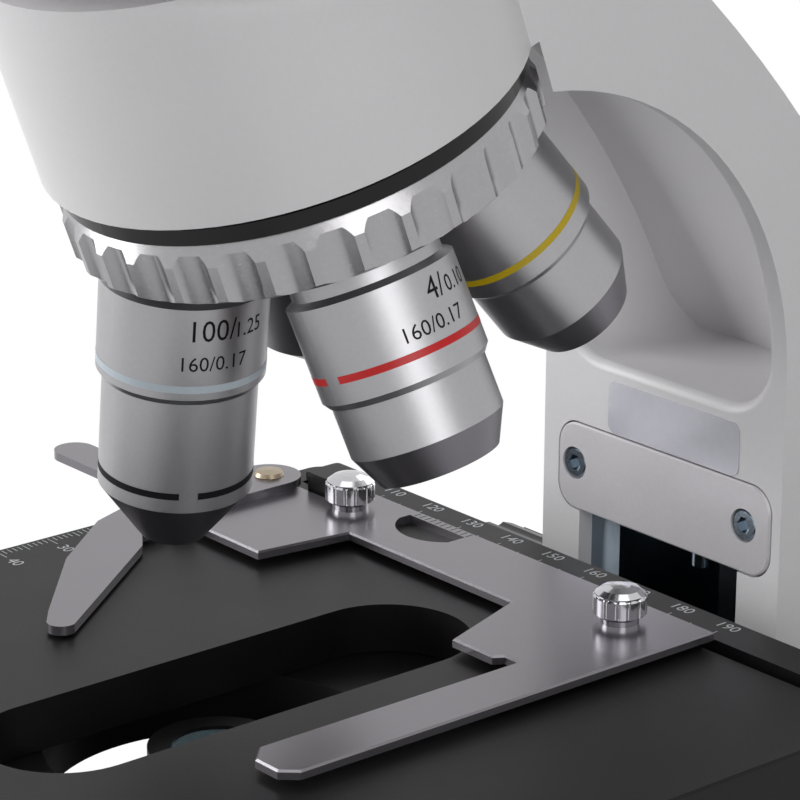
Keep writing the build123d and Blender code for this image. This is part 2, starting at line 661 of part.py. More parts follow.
ring_outline = [
    (PIVOT_R + FIT, RING_START), (RING_R - 1.6, RING_START), (RING_R, RING_BEVEL_END),
    (RING_R, RING_END - 0.8), (RING_R - 1, RING_END), (RING_LIP_R, RING_END),
    (RING_LIP_R, seat_height(RING_LIP_R)), (PIVOT_R + FIT, seat_height(PIVOT_R + FIT))]
rest = TURRET_REST
OBJECTIVES = {"100x": rest, "4x": rest + 90, "10x": rest + 180, "40x": rest + 270}
seat_planes = {name: along(apex, objective_axis(angle)) for name, angle in OBJECTIVES.items()}
with BuildPart() as turret_ring:
    add(turned(turret_meridian, ring_outline).part)
    for plane in seat_planes.values():
        with BuildSketch(Plane(origin=plane.origin + plane.y_dir * (SEAT + 1), z_dir=plane.y_dir)):
            Circle(THREAD_R + FIT)
        extrude(amount=-15, mode=Mode.SUBTRACT)
    groove_axis = RING_R + SCALLOP_R - SCALLOP_DEPTH
    with BuildSketch(turret_plane.offset(RING_START + 1.4)):
        with PolarLocations(groove_axis, SCALLOPS, start_angle=9.1 - 90):
            Circle(SCALLOP_R)
    extrude(amount=RING_END, mode=Mode.SUBTRACT)
keep(turret_ring, "turret_ring")

pivot_cap = turned(turret_meridian, [
    (0, seat_height(0)), (PIVOT_R - 1.5, seat_height(0)), (PIVOT_R - 1.5, seat_height(0) + 1.6),
    (PIVOT_R - 2.3, seat_height(0) + 2.4), (0, seat_height(0) + 2.4)])
keep(pivot_cap, "turret_pivot_cap")

# Objectives: chrome collars under the ring, stepped barrels, and spring-loaded noses on two
STEP = {"100x": 77.5, "4x": 77.5, "10x": 79, "40x": 77.5}
LOWER_R = {"100x": 11.5, "4x": 11.5, "10x": 11.2, "40x": 11.3}
CONE_START = {"100x": 95.1, "4x": 85.4, "10x": 89.2, "40x": 94.2}
TIP = {"100x": 103.7, "4x": 90.6, "10x": 95.6, "40x": 103.3}
TIP_R = {"100x": 5, "4x": 9, "10x": 8, "40x": 5}
LENS_R = {"100x": 1.6, "4x": 7, "10x": 4.5, "40x": 2.6}
LENS_SINK = 0.8

with BuildPart() as collars:
    for plane in seat_planes.values():
        add(turned(plane, [(THREAD_R + FIT, SEAT), (COLLAR_R - 0.4, SEAT), (COLLAR_R, SEAT + 0.5),
                           (COLLAR_R, SHOULDER - 0.3), (THREAD_R + FIT, SHOULDER - 0.3)]).part)
keep(collars, "objective_collars")


def barrel_outline(name):
    """Thread, neck and upper barrel, shared by every objective."""
    return [(THREAD_R, SEAT - 4), (THREAD_R, SHOULDER - 0.3), (COLLAR_R, SHOULDER - 0.3),
            (COLLAR_R, BARREL_START), (BARREL_R, BARREL_START + 0.8), (BARREL_R, STEP[name] - 1),
            (BARREL_R - 0.7, STEP[name])]


def front_outline(name):
    """Lower barrel, dark cone and the recess that holds the front lens."""
    return [(LOWER_R[name], STEP[name]), (LOWER_R[name], CONE_START[name]), (TIP_R[name], TIP[name]),
            (LENS_R[name], TIP[name]), (LENS_R[name], TIP[name] - LENS_SINK - 1)]


for name in ("4x", "10x"):
    plane = seat_planes[name]
    bore = [(0, TIP[name] - LENS_SINK - 1), (0, SEAT - 4)]
    objective = turned(plane, barrel_outline(name) + front_outline(name) + bore)
    keep(objective, "objective_" + name)

NOSE_INNER = 64
for name in ("40x", "100x"):
    plane = seat_planes[name]
    sleeve = LOWER_R[name] + FIT
    objective = turned(plane, barrel_outline(name) + [(sleeve, STEP[name]), (sleeve, NOSE_INNER),
                                                      (0, NOSE_INNER), (0, SEAT - 4)])
    keep(objective, "objective_" + name)
    nose_top = NOSE_INNER + NOSE_TRAVEL + GAP
    nose = turned(plane, [(0, nose_top), (LOWER_R[name], nose_top)] + front_outline(name)
                  + [(0, TIP[name] - LENS_SINK - 1)])
    keep(nose, "nose_" + name)

with BuildPart() as front_lenses:
    for name in ("4x", "10x"):
        add(lens_part(seat_planes[name], LENS_R[name], TIP[name] - LENS_SINK - 1, TIP[name] - LENS_SINK - 0.7,
                      0.6).part)
keep(front_lenses, "front_lenses")

# Focus carriage: a slide in the guide with the rack behind it, and the stage's fixed plate
lower_top = STAGE_TOP - STAGE_T - GAP
lower_bottom = lower_top - LOWER_T
with BuildPart() as focus_carriage:
    with BuildSketch(level(CARRIAGE_BOTTOM)):
        with BuildLine():
            Polyline((-CARRIAGE_HALF, ARM_FACE_Y - 8), (CARRIAGE_HALF, ARM_FACE_Y - 8),
                     (CARRIAGE_HALF, GUIDE_FRONT + LIP_T + 0.2), (FLANGE_HALF, GUIDE_FRONT + LIP_T + 0.2),
                     (FLANGE_HALF, RACK_FACE_Y + 0.3), (8, RACK_FACE_Y + 0.3), (8, RACK_FACE_Y - 2),
                     (-8, RACK_FACE_Y - 2), (-8, RACK_FACE_Y + 0.3), (-FLANGE_HALF, RACK_FACE_Y + 0.3),
                     (-FLANGE_HALF, GUIDE_FRONT + LIP_T + 0.2), (-CARRIAGE_HALF, GUIDE_FRONT + LIP_T + 0.2),
                     close=True)
        make_face()
    extrude(amount=carriage_top - CARRIAGE_BOTTOM)
    rack_frame = Plane(origin=(0, AXIS_Y + RACK_FACE_Y, FOCUS_Z), x_dir=(0, 0, 1), z_dir=(-1, 0, 0))
    add(rack_frame * rack(-FOCUS_UP - 5, FOCUS_DOWN + 5, 14, 1.2))
keep(focus_carriage, "focus_carriage")

BRACKET_FRONT_Y = 36
BRACKET_FLOOR = 96
CONDENSER_KNOB_Z = 108
CONDENSER_KNOB_Y = BRACKET_FRONT_Y + PITCH_R + 1.2
CONDENSER_SHAFT_R = 2.5
bracket_back = ARM_FACE_Y - 8
with BuildPart() as lower_plate:
    with BuildSketch(level(lower_bottom)):
        with Locations((0, (LOWER_FRONT_Y + LOWER_REAR_Y) / 2)):
            RectangleRounded(2 * LOWER_HALF, LOWER_REAR_Y - LOWER_FRONT_Y, 8)
        Circle(CARRIER_R + 1, mode=Mode.SUBTRACT)
    extrude(amount=LOWER_T)
    with BuildSketch(level(lower_top)):
        with Locations((-GUIDE_X, GUIDE_MID_Y), (GUIDE_X, GUIDE_MID_Y)):
            Rectangle(GUIDE_W, GUIDE_LEN)
    extrude(amount=3.5)
    with BuildSketch(side()):
        with BuildLine():
            Polyline((BRACKET_FRONT_Y, lower_bottom), (bracket_back, lower_bottom), (bracket_back, CARRIAGE_BOTTOM + 4),
                     (bracket_back - 10, CARRIAGE_BOTTOM + 4), (BRACKET_FRONT_Y + 16, BRACKET_FLOOR),
                     (BRACKET_FRONT_Y, BRACKET_FLOOR), close=True)
        make_face()
    extrude(amount=17, both=True)
    with BuildSketch(level(lower_top)):
        with Locations((0, (LOWER_REAR_Y + bracket_back) / 2 - 1)):
            Rectangle(34, bracket_back - LOWER_REAR_Y + 2)
    extrude(amount=-LOWER_T)
    with BuildSketch(side()):
        with Locations((CONDENSER_KNOB_Y, CONDENSER_KNOB_Z)):
            Circle(CONDENSER_SHAFT_R + FIT)
    extrude(amount=20, both=True, mode=Mode.SUBTRACT)
    with BuildSketch(side()):
        with Locations((CONDENSER_KNOB_Y, CONDENSER_KNOB_Z)):
            Circle(PITCH_R + 1.5)
        with Locations((BRACKET_FRONT_Y, (lower_bottom + BRACKET_FLOOR) / 2)):
            Rectangle(6, lower_bottom - BRACKET_FLOOR)
    extrude(amount=8, both=True, mode=Mode.SUBTRACT)
    y_rack_frame = Plane(origin=(DRIVE_X - PITCH_R, AXIS_Y + DRIVE_Y, lower_bottom + 3.5),
                         x_dir=(0, -1, 0), z_dir=(0, 0, 1))
    add(y_rack_frame * rack(-Y_BACK - 5, Y_FORWARD + 5, 7, DRIVE_X - PITCH_R - TOOTH_ROOT - LOWER_HALF + 1))
keep(lower_plate, "stage_lower_plate")

# Moving stage plate with the ruler rail along its rear edge
stage_mid_x = (STAGE_LEFT + STAGE_RIGHT) / 2
stage_mid_y = (STAGE_REAR_Y + STAGE_FRONT_Y) / 2
POCKET_FRONT_Y = DRIVE_Y - DRUM_R - BELT_T - 0.4
POCKET_REAR_Y = 74
POCKET_HALF = 66
POCKET_TOP = STAGE_TOP - 2
SLIT_Y = 68
SLIT_W = 2
with BuildPart() as upper_plate:
    with BuildSketch(level(STAGE_TOP - STAGE_T)):
        with Locations((stage_mid_x, stage_mid_y)):
            RectangleRounded(STAGE_RIGHT - STAGE_LEFT, STAGE_REAR_Y - STAGE_FRONT_Y, STAGE_R)
    extrude(amount=STAGE_T)
    chamfer(upper_plate.faces().sort_by(Axis.Z)[-1].edges(), 0.4)
    with BuildSketch(level(STAGE_TOP)):
        with Locations((stage_mid_x, (RAIL_Y + STAGE_REAR_Y) / 2)):
            Rectangle(STAGE_RIGHT - STAGE_LEFT - 2 * STAGE_R, STAGE_REAR_Y - RAIL_Y)
    extrude(amount=RULER_Z - STAGE_TOP)
    with BuildSketch(level(STAGE_TOP - STAGE_T)):
        with Locations((0, (APERTURE_FRONT_Y + APERTURE_REAR_Y) / 2)):
            SlotOverall(APERTURE_REAR_Y - APERTURE_FRONT_Y, 2 * APERTURE_HALF, rotation=90)
    extrude(amount=STAGE_T, mode=Mode.SUBTRACT)
    with BuildSketch(level(STAGE_TOP - STAGE_T)):
        with Locations((0, (POCKET_FRONT_Y + POCKET_REAR_Y) / 2)):
            Rectangle(2 * POCKET_HALF, POCKET_REAR_Y - POCKET_FRONT_Y)
        with Locations((-DRIVE_X, DRIVE_Y)):
            Circle(DRUM_R - FIT, mode=Mode.SUBTRACT)
        groove_y = GUIDE_MID_Y + (Y_FORWARD - Y_BACK) / 2
        with Locations((-GUIDE_X, groove_y), (GUIDE_X, groove_y)):
            Rectangle(GUIDE_W + 2 * GAP, GUIDE_LEN + Y_FORWARD + Y_BACK + 1)
    extrude(amount=POCKET_TOP - STAGE_TOP + STAGE_T, mode=Mode.SUBTRACT)
    with BuildSketch(level(STAGE_TOP)):
        with Locations((0, SLIT_Y)):
            Rectangle(2 * POCKET_HALF - 4, SLIT_W)
    extrude(amount=-4, mode=Mode.SUBTRACT)
keep(upper_plate, "stage_upper_plate")

with BuildPart() as belt:
    with BuildSketch(level(POCKET_TOP - 2.6)):
        SlotCenterToCenter(2 * DRIVE_X, 2 * (DRUM_R + BELT_T))
        SlotCenterToCenter(2 * DRIVE_X, 2 * DRUM_R, mode=Mode.SUBTRACT)
    extrude(amount=2.2)
belt_part = Pos(0, DRIVE_Y, 0) * belt.part
with BuildPart() as belt:
    add(belt_part)
keep(belt, "x_drive_belt")

# Coaxial stage drive under the right-hand edge: bracket, Y knob on a sleeve, X knob on the shaft
y_pinion_low = lower_bottom + 0.3
y_pinion_high = lower_bottom + 6.7
BRACKET_LOW = 122
Y_KNOB_TOP = 120
Y_KNOB_H = 14
X_KNOB_H = 17
SLEEVE_R = 4.5
with BuildPart() as drive_bracket:
    with BuildSketch(level(BRACKET_LOW, DRIVE_X, DRIVE_Y)):
        Circle(10)
        with Locations((5, 0)):
            Rectangle(11, 14)
    extrude(amount=STAGE_TOP - STAGE_T - BRACKET_LOW)
    with BuildSketch(level(y_pinion_low - 0.4, DRIVE_X, DRIVE_Y)):
        Circle(PITCH_R + 1.2)
        with Locations((-10, 0)):
            Rectangle(20, 24)
    extrude(amount=y_pinion_high - y_pinion_low + 0.8, mode=Mode.SUBTRACT)
    with BuildSketch(level(y_pinion_high + 0.3, LOWER_HALF - 10 + GAP, DRIVE_Y)):
        Rectangle(20, 24)
    extrude(amount=20, mode=Mode.SUBTRACT)
    with BuildSketch(level(BRACKET_LOW, DRIVE_X, DRIVE_Y)):
        Circle(SLEEVE_R + FIT)
    extrude(amount=y_pinion_low - BRACKET_LOW, mode=Mode.SUBTRACT)
    with BuildSketch(level(BRACKET_LOW, DRIVE_X, DRIVE_Y)):
        Circle(FINE_SHAFT_R + FIT)
    extrude(amount=40, mode=Mode.SUBTRACT)
keep(drive_bracket, "stage_drive_bracket")

drive_axis = along((DRIVE_X, AXIS_Y + DRIVE_Y, 0), (0, 0, 1))
y_knob_plane = Plane(origin=(DRIVE_X, AXIS_Y + DRIVE_Y, Y_KNOB_TOP), x_dir=(1, 0, 0), z_dir=(0, 0, -1))
y_gear_frame = Plane(origin=(DRIVE_X, AXIS_Y + DRIVE_Y, 0), x_dir=(0, 0, 1), z_dir=(0, 1, 0))
with BuildPart() as y_knob:
    add(fluted_knob(y_knob_plane, Y_KNOB_R, Y_KNOB_H, 24, 1.2).part)
    add(turned(drive_axis, tube_outline(0, SLEEVE_R, Y_KNOB_TOP - 1, y_pinion_high)).part)
    add(y_gear_frame * pinion(PINION_TEETH, y_pinion_low, y_pinion_high, 0))
    with BuildSketch(level(0, DRIVE_X, DRIVE_Y)):
        Circle(FINE_SHAFT_R + FIT)
    extrude(amount=200, mode=Mode.SUBTRACT)
keep(y_knob, "stage_y_knob")

x_knob_top = Y_KNOB_TOP - Y_KNOB_H - 0.6
x_knob_plane = Plane(origin=(DRIVE_X, AXIS_Y + DRIVE_Y, x_knob_top), x_dir=(1, 0, 0), z_dir=(0, 0, -1))
with BuildPart() as x_knob:
    add(fluted_knob(x_knob_plane, X_KNOB_R, X_KNOB_H, 20, 1.1).part)
    add(turned(drive_axis, [(0, x_knob_top - 1), (FINE_SHAFT_R, x_knob_top - 1), (FINE_SHAFT_R, POCKET_TOP - 3),
                            (DRUM_R - FIT, POCKET_TOP - 3), (DRUM_R - FIT, POCKET_TOP - GAP),
                            (0, POCKET_TOP - GAP)]).part)
keep(x_knob, "stage_x_knob")

# X carriage: a block in the plate's pocket, a web through the slit and the flange on top
flange_z = STAGE_TOP + 0.2
BLOCK_X = (-41, 10)
with BuildPart() as x_carriage:
    with BuildSketch(level(STAGE_TOP - STAGE_T + GAP)):
        with Locations(((BLOCK_X[0] + BLOCK_X[1]) / 2, (POCKET_REAR_Y + DRIVE_Y + DRUM_R + BELT_T) / 2)):
            Rectangle(BLOCK_X[1] - BLOCK_X[0], POCKET_REAR_Y - DRIVE_Y - DRUM_R - BELT_T - 2 * GAP)
    extrude(amount=POCKET_TOP - STAGE_TOP + STAGE_T - 2 * GAP)
    with BuildSketch(level(POCKET_TOP - GAP)):
        with Locations(((BLOCK_X[0] + BLOCK_X[1]) / 2, SLIT_Y)):
            Rectangle(BLOCK_X[1] - BLOCK_X[0] - 2, SLIT_W - 2 * 0.2)
    extrude(amount=flange_z - POCKET_TOP + GAP)
    with BuildSketch(level(flange_z)):
        with Locations((-6, 63)):
            Rectangle(78, 11)
        with Locations((-50.5, 64.8)):
            Rectangle(12, 7.5)
    extrude(amount=HOLDER_BOTTOM - flange_z)
    with BuildSketch(level(HOLDER_BOTTOM)):
        with Locations((-52, 64.8)):
            RectangleRounded(7.4, 7, 0.8)
    extrude(amount=4.4)
    with BuildSketch(level(HOLDER_BOTTOM)):
        with Locations(*THUMB_SPOTS):
            Circle(1.25 + FIT)
    extrude(amount=-1.5, mode=Mode.SUBTRACT)
keep(x_carriage, "x_carriage")

# Slide holder plate with its slanted notch, right-hand stop arm and vernier window
with BuildPart() as holder:
    with BuildSketch(level(HOLDER_BOTTOM)):
        with BuildLine():
            Polyline((35.2, 68.5), (35.2, -12), (33, -14.5), (28, -14.5), (25, -11.5), (25, 37.4), (22, 37.4),
                     (21, 35.8), (11.9, 35.8), (6, 53), (-33.9, 53), (-36.2, 35.8), (-60, 35.8), (-67, 44),
                     (-67, 60.8), (-48, 60.8), (-48, 68.5), close=True)
        make_face()
        with BuildLine():
            Line((-34, 66.2), (-20, 66.2))
            Line((-20, 66.2), (-20, 62.5))
            ThreePointArc((-20, 62.5), (-29, 59.6), (-34, 64))
            Line((-34, 64), (-34, 66.2))
        make_face(mode=Mode.SUBTRACT)
        with Locations(*THUMB_SPOTS):
            Circle(1.25 + FIT, mode=Mode.SUBTRACT)
        with Locations((PIVOT_X, PIVOT_Y)):
            Circle(RIVET_R + FIT, mode=Mode.SUBTRACT)
    extrude(amount=HOLDER_T)
    chamfer(holder.faces().sort_by(Axis.Z)[-1].outer_wire().edges(), 0.3)
keep(holder, "slide_holder_plate")

with BuildPart() as thumbscrews:
    for spot_x, spot_y in THUMB_SPOTS:
        plane = Plane(origin=(spot_x, AXIS_Y + spot_y, HOLDER_TOP + 1.6), z_dir=(0, 0, 1))
        add(fluted_knob(plane, 4.2, 3.4, 14, 0.5).part)
        screw_axis = along((spot_x, AXIS_Y + spot_y, HOLDER_TOP), (0, 0, 1))
        add(turned(screw_axis, [(0, -2), (1.25, -2), (1.25, 0), (3, 0), (3.1, 0.9), (3.9, 1.6), (3.9, 4.8),
                                (3, 5.5), (1.6, 5.9), (0, 6)]).part)
keep(thumbscrews, "holder_thumbscrews")

# Finger lever: sheet metal cranked down to the stage, turning on a brass rivet
lever_low = HOLDER_TOP - LEVER_DROP
with BuildPart() as lever:
    with BuildSketch(side(-100)):
        with BuildLine():
            Polyline((70, HOLDER_TOP), (70, HOLDER_TOP + LEVER_T), (35.4, HOLDER_TOP + LEVER_T),
                     (32, lever_low + LEVER_T), (-20, lever_low + LEVER_T), (-20, lever_low), (31.6, lever_low),
                     (35, HOLDER_TOP), close=True)
        make_face()
    extrude(amount=80)
    with BuildSketch(level(lever_low - 1)):
        with BuildLine():
            Polyline((-56, 57.8), (-56, 27), (-51.5, 23.8), (-30.3, -4.4))
            ThreePointArc((-30.3, -4.4), (-31.2, -7.2), (-34.2, -6.9))
            Polyline((-34.2, -6.9), (-37.5, -4.3), (-54.5, 10.8), (-65.7, 24.9), (-68, 31), (-68, 36.2),
                     (-93.7, 36.2))
            ThreePointArc((-93.7, 36.2), (-97.3, 39.8), (-93.7, 43.4))
            Polyline((-93.7, 43.4), (-72, 43.4), (-67, 50), (-67, 57.8))
            ThreePointArc((-67, 57.8), (-61.5, 63.3), (-56, 57.8))
        make_face()
        with Locations((PIVOT_X, PIVOT_Y)):
            Circle(RIVET_R + FIT, mode=Mode.SUBTRACT)
    extrude(amount=10, mode=Mode.INTERSECT)
keep(lever, "finger_lever")

rivet_axis = along((PIVOT_X, AXIS_Y + PIVOT_Y, HOLDER_TOP), (0, 0, 1))
rivet = turned(rivet_axis, [(0, -HOLDER_T), (RIVET_R, -HOLDER_T), (RIVET_R, LEVER_T + FIT), (2.6, LEVER_T + FIT),
                            (2.3, LEVER_T + 0.7), (0, LEVER_T + 0.9)])
keep(rivet, "lever_rivet")

# Condenser: carrier ring on a racked slide, body with top lens, iris ring, swinging filter holder
CARRIER_LOW = 116
CARRIER_HIGH = 124
CARRIER_ARM_W = 16 - 2 * GAP
with BuildPart() as carrier:
    with BuildSketch(level(CARRIER_LOW)):
        Circle(CARRIER_R)
        with Locations((0, (BRACKET_FRONT_Y - 1) / 2)):
            Rectangle(CARRIER_ARM_W, BRACKET_FRONT_Y - 1)
        Circle(CONDENSER_R + FIT, mode=Mode.SUBTRACT)
    extrude(amount=CARRIER_HIGH - CARRIER_LOW)
    carrier_rack_frame = Plane(origin=(0, AXIS_Y + CONDENSER_KNOB_Y - PITCH_R, CONDENSER_KNOB_Z),
                               x_dir=(0, 0, 1), z_dir=(-1, 0, 0))
    add(carrier_rack_frame * rack(-CONDENSER_UP - 3, CONDENSER_DOWN + 3, CARRIER_ARM_W, 3))
keep(carrier, "condenser_carrier")

IRIS_NECK_R = 15
IRIS_LOW = 108.4
BODY_LOW = 104
CONE_LOW = 131
optical_axis = along((0, AXIS_Y, 0), (0, 0, 1))
FILTER_PIN_X = -22
with BuildPart() as condenser_body:
    add(turned(optical_axis, [(12, BODY_LOW), (IRIS_NECK_R, BODY_LOW), (IRIS_NECK_R, IRIS_LOW + 3.2),
                              (CONDENSER_R, IRIS_LOW + 3.2), (CONDENSER_R, CARRIER_HIGH),
                              (CONDENSER_R + 3, CARRIER_HIGH), (CONDENSER_R + 3, CARRIER_HIGH + 2),
                              (CONDENSER_R, CARRIER_HIGH + 2), (CONDENSER_R, CONE_LOW),
                              (CONDENSER_TIP_R, CONE_LOW + 4.5), (CONDENSER_TIP_R, CONDENSER_TIP),
                              (7, CONDENSER_TIP), (7, CONE_LOW + 3), (12, CONE_LOW - 2)]).part)
    with BuildSketch(level(BODY_LOW)):
        with Locations((FILTER_PIN_X / 2, 0)):
            Rectangle(-FILTER_PIN_X, 8)
        with Locations((FILTER_PIN_X, 0)):
            Circle(4)
        Circle(IRIS_NECK_R - 1, mode=Mode.SUBTRACT)
    extrude(amount=IRIS_LOW - BODY_LOW - 0.8)
    with BuildSketch(level(BODY_LOW)):
        with Locations((FILTER_PIN_X, 0)):
            Circle(1.5)
    extrude(amount=-6)
keep(condenser_body, "condenser_body")

condenser_lens = turned(optical_axis, [(0, CONE_LOW + 3), (7 - FIT, CONE_LOW + 3), (7 - FIT, CONDENSER_TIP - 0.6),
                                       (0, CONDENSER_TIP - 0.6)])
keep(condenser_lens, "condenser_lens")

with BuildPart() as iris:
    with BuildSketch(level(IRIS_LOW)):
        Circle(CONDENSER_R)
        with Locations((0, -14)):
            Rectangle(5, 28)
        Circle(IRIS_NECK_R + FIT, mode=Mode.SUBTRACT)
    extrude(amount=3)
    with BuildSketch(face_on(-28)):
        with Locations((0, IRIS_LOW + 1.5)):
            Circle(2.8)
    extrude(amount=8)
keep(iris, "iris_lever")

with BuildPart() as filter_holder:
    with BuildSketch(level(BODY_LOW - 4.6)):
        Circle(FILTER_R)
        with Locations((FILTER_PIN_X, 0)):
            Circle(4)
        with Locations((FILTER_R + 4, 0)):
            RectangleRounded(12, 7, 2)
        Circle(FILTER_R - 4, mode=Mode.SUBTRACT)
        with Locations((FILTER_PIN_X, 0)):
            Circle(1.5 + FIT, mode=Mode.SUBTRACT)
    extrude(amount=4)
    with BuildSketch(level(BODY_LOW - 3)):
        Circle(FILTER_R - 2.5)
    extrude(amount=3, mode=Mode.SUBTRACT)
keep(filter_holder, "filter_holder")

condenser_knob_frame = Plane(origin=(-48, AXIS_Y + CONDENSER_KNOB_Y, CONDENSER_KNOB_Z), x_dir=(0, 1, 0),
                             z_dir=(-1, 0, 0))
with BuildPart() as condenser_knob:
    add(fluted_knob(condenser_knob_frame, 12, 14, 20, 1.2, stem_r=CONDENSER_SHAFT_R, stem=64).part)
    add(Pos(0, AXIS_Y + CONDENSER_KNOB_Y, CONDENSER_KNOB_Z) * pinion(PINION_TEETH, -6, 6, 0))
keep(condenser_knob, "condenser_knob")


def hub_plane(station=0):
    """A plane square to the head's inclined hub axis, its y pointing uphill."""
    return Plane(origin=(0, AXIS_Y + HUB_Y - cos(radians(HEAD_TILT)) * station,
                         HUB_Z + sin(radians(HEAD_TILT)) * station),
                 x_dir=(1, 0, 0), z_dir=(0, -cos(radians(HEAD_TILT)), sin(radians(HEAD_TILT))))


# Head: rotating housing with an inclined hub for the two swinging prism arms
HUB_PIN_R = 6
HUB_CAP_R = 14
with BuildPart() as head_housing:
    add(turned(optical_axis, [(9, PLATFORM_Z - 8), (HEAD_BORE_R - FIT, PLATFORM_Z - 8),
                              (HEAD_BORE_R - FIT, PLATFORM_Z), (HEAD_BASE_R, PLATFORM_Z),
                              (HEAD_BASE_R, PLATFORM_Z + 7), (HEAD_BASE_R - 1, PLATFORM_Z + 8),
                              (9, PLATFORM_Z + 8)]).part)
    with BuildSketch(side(-HEAD_W / 2)):
        with BuildLine():
            Polyline((-30, PLATFORM_Z + 7.5), (-36, 304.7), (-16, 339.3), (8, 344), (24, 334), (29, 316),
                     (29, PLATFORM_Z + 7.5), close=True)
        make_face()
    extrude(amount=HEAD_W)
    upright = head_housing.edges().filter_by(Axis.X).group_by(Axis.Z)[-3:]
    fillet([edge for group in upright for edge in group], 6)
    with BuildSketch(side(-HEAD_W / 2 + 4)):
        Polygon((-22, 300), (-30, 306), (-14, 333), (6, 338), (18, 330), (24, 314), (24, 300), align=None)
    extrude(amount=HEAD_W - 8, mode=Mode.SUBTRACT)
    with BuildSketch(level(PLATFORM_Z - 8)):
        Circle(9)
    extrude(amount=20, mode=Mode.SUBTRACT)
    with BuildSketch(hub_plane(-3)):
        Circle(HUB_PIN_R)
    extrude(amount=2 * HUB_LAYER + 3)
keep(head_housing, "head_housing")

with BuildPart() as hub_cap:
    with BuildSketch(hub_plane(2 * HUB_LAYER)):
        Circle(HUB_CAP_R)
    extrude(amount=3)
    chamfer(hub_cap.faces().sort_by(Axis.Z)[-1].edges().sort_by(Axis.Z)[-1], 0.8)
    with BuildSketch(hub_plane(2 * HUB_LAYER + 2)):
        Rectangle(12, 1.4)
    extrude(amount=2, mode=Mode.SUBTRACT)
keep(hub_cap, "hub_cap")

lock_knob_plane = Plane(origin=(PLATFORM_R + 1, AXIS_Y, LOCK_Z), x_dir=(0, 1, 0), z_dir=(1, 0, 0))
with BuildPart() as lock_screw:
    add(fluted_knob(lock_knob_plane, 5, 7, 12, 0.8).part)
    add(turned(along((0, AXIS_Y, LOCK_Z), (1, 0, 0)),
               tube_outline(0, LOCK_SCREW_R, HEAD_BORE_R, PLATFORM_R + 1.5)).part)
keep(lock_screw, "head_lock_screw")

# Prism arms with their tubes, then eyepieces, rubber eyecups and the left dioptre ring
pupil_angle = -degrees(atan2(sqrt(PUPIL_ARM ** 2 - PUPIL_REST ** 2 / 4), PUPIL_REST / 2))
pupil_drop = PUPIL_ARM * sin(radians(pupil_angle))
tube_start = 2 * HUB_LAYER
tube_end = tube_start + TUBE_LEN
EYEPIECE_FIT_R = 11.6
for label, side_sign, layer in [("right", 1, GAP), ("left", -1, HUB_LAYER + GAP / 2)]:
    pupil_x = side_sign * PUPIL_REST / 2
    tube_axis = along(hub_plane().from_local_coords((pupil_x, pupil_drop, 0)), tuple(hub_plane().z_dir))
    with BuildPart() as prism_arm:
        with BuildSketch(hub_plane(layer)):
            Circle(HUB_R)
            with Locations((pupil_x / 2, pupil_drop / 2)):
                Rectangle(PUPIL_ARM, 26, rotation=side_sign * pupil_angle)
            Circle(HUB_PIN_R + FIT, mode=Mode.SUBTRACT)
        extrude(amount=HUB_LAYER - GAP)
        add(turned(tube_axis, [(0, GAP), (PRISM_R, GAP), (PRISM_R, tube_start - 1.2), (PRISM_R - 1.2, tube_start),
                               (0, tube_start)]).part)
        add(turned(tube_axis, tube_outline(EYEPIECE_FIT_R, TUBE_R, tube_start - 1, tube_end)).part)
        with BuildSketch(hub_plane(tube_start - 12)):
            with Locations((pupil_x, pupil_drop)):
                Circle(EYEPIECE_FIT_R)
        extrude(amount=60, mode=Mode.SUBTRACT)
    keep(prism_arm, f"prism_arm_{label}")

    eyepiece_end = tube_end + EYEPIECE_LEN
    eyepiece = turned(tube_axis, [(8.5, tube_end - 22), (EYEPIECE_FIT_R - FIT, tube_end - 22),
                                  (EYEPIECE_FIT_R - FIT, tube_end), (EYEPIECE_R - 0.6, tube_end),
                                  (EYEPIECE_R, tube_end + 0.6), (EYEPIECE_R, tube_end + 9),
                                  (EYEPIECE_R - 0.7, tube_end + 9.7), (EYEPIECE_R - 0.7, tube_end + 11),
                                  (EYEPIECE_R, tube_end + 11.7), (EYEPIECE_R, eyepiece_end - 4),
                                  (EYEPIECE_R - 4, eyepiece_end), (9, eyepiece_end), (9, eyepiece_end - 5),
                                  (8.5, eyepiece_end - 5)])
    keep(eyepiece, f"eyepiece_{label}")

    eyecup = turned(tube_axis, [(EYEPIECE_R, eyepiece_end - 12), (EYEPIECE_R + 2, eyepiece_end - 12),
                                (EYEPIECE_R + 2.4, eyepiece_end),
                                (EYEPIECE_R + 3.5, eyepiece_end + EYECUP_LEN - 4),
                                (EYEPIECE_R + 2.5, eyepiece_end + EYECUP_LEN - 4),
                                (EYEPIECE_R + 0.5, eyepiece_end + 1),
                                (EYEPIECE_R - 4, eyepiece_end), (EYEPIECE_R, eyepiece_end - 4)])
    keep(eyecup, f"eyecup_{label}")

ring_start = tube_end - 10
ring_plane = hub_plane(ring_start)
with BuildPart() as dioptre_ring:
    with BuildSketch(ring_plane):
        with Locations((-PUPIL_REST / 2, pupil_drop)):
            Circle(TUBE_R + 3)
            with PolarLocations(TUBE_R + 3.4, 30):
                Circle(0.7, mode=Mode.SUBTRACT)
            Circle(TUBE_R + FIT, mode=Mode.SUBTRACT)
    extrude(amount=9.4)
keep(dioptre_ring, "dioptre_ring")
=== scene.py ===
from math import cos, degrees, pi, radians, sin, sqrt

import bmesh
import bpy
from mathutils import Matrix, Vector


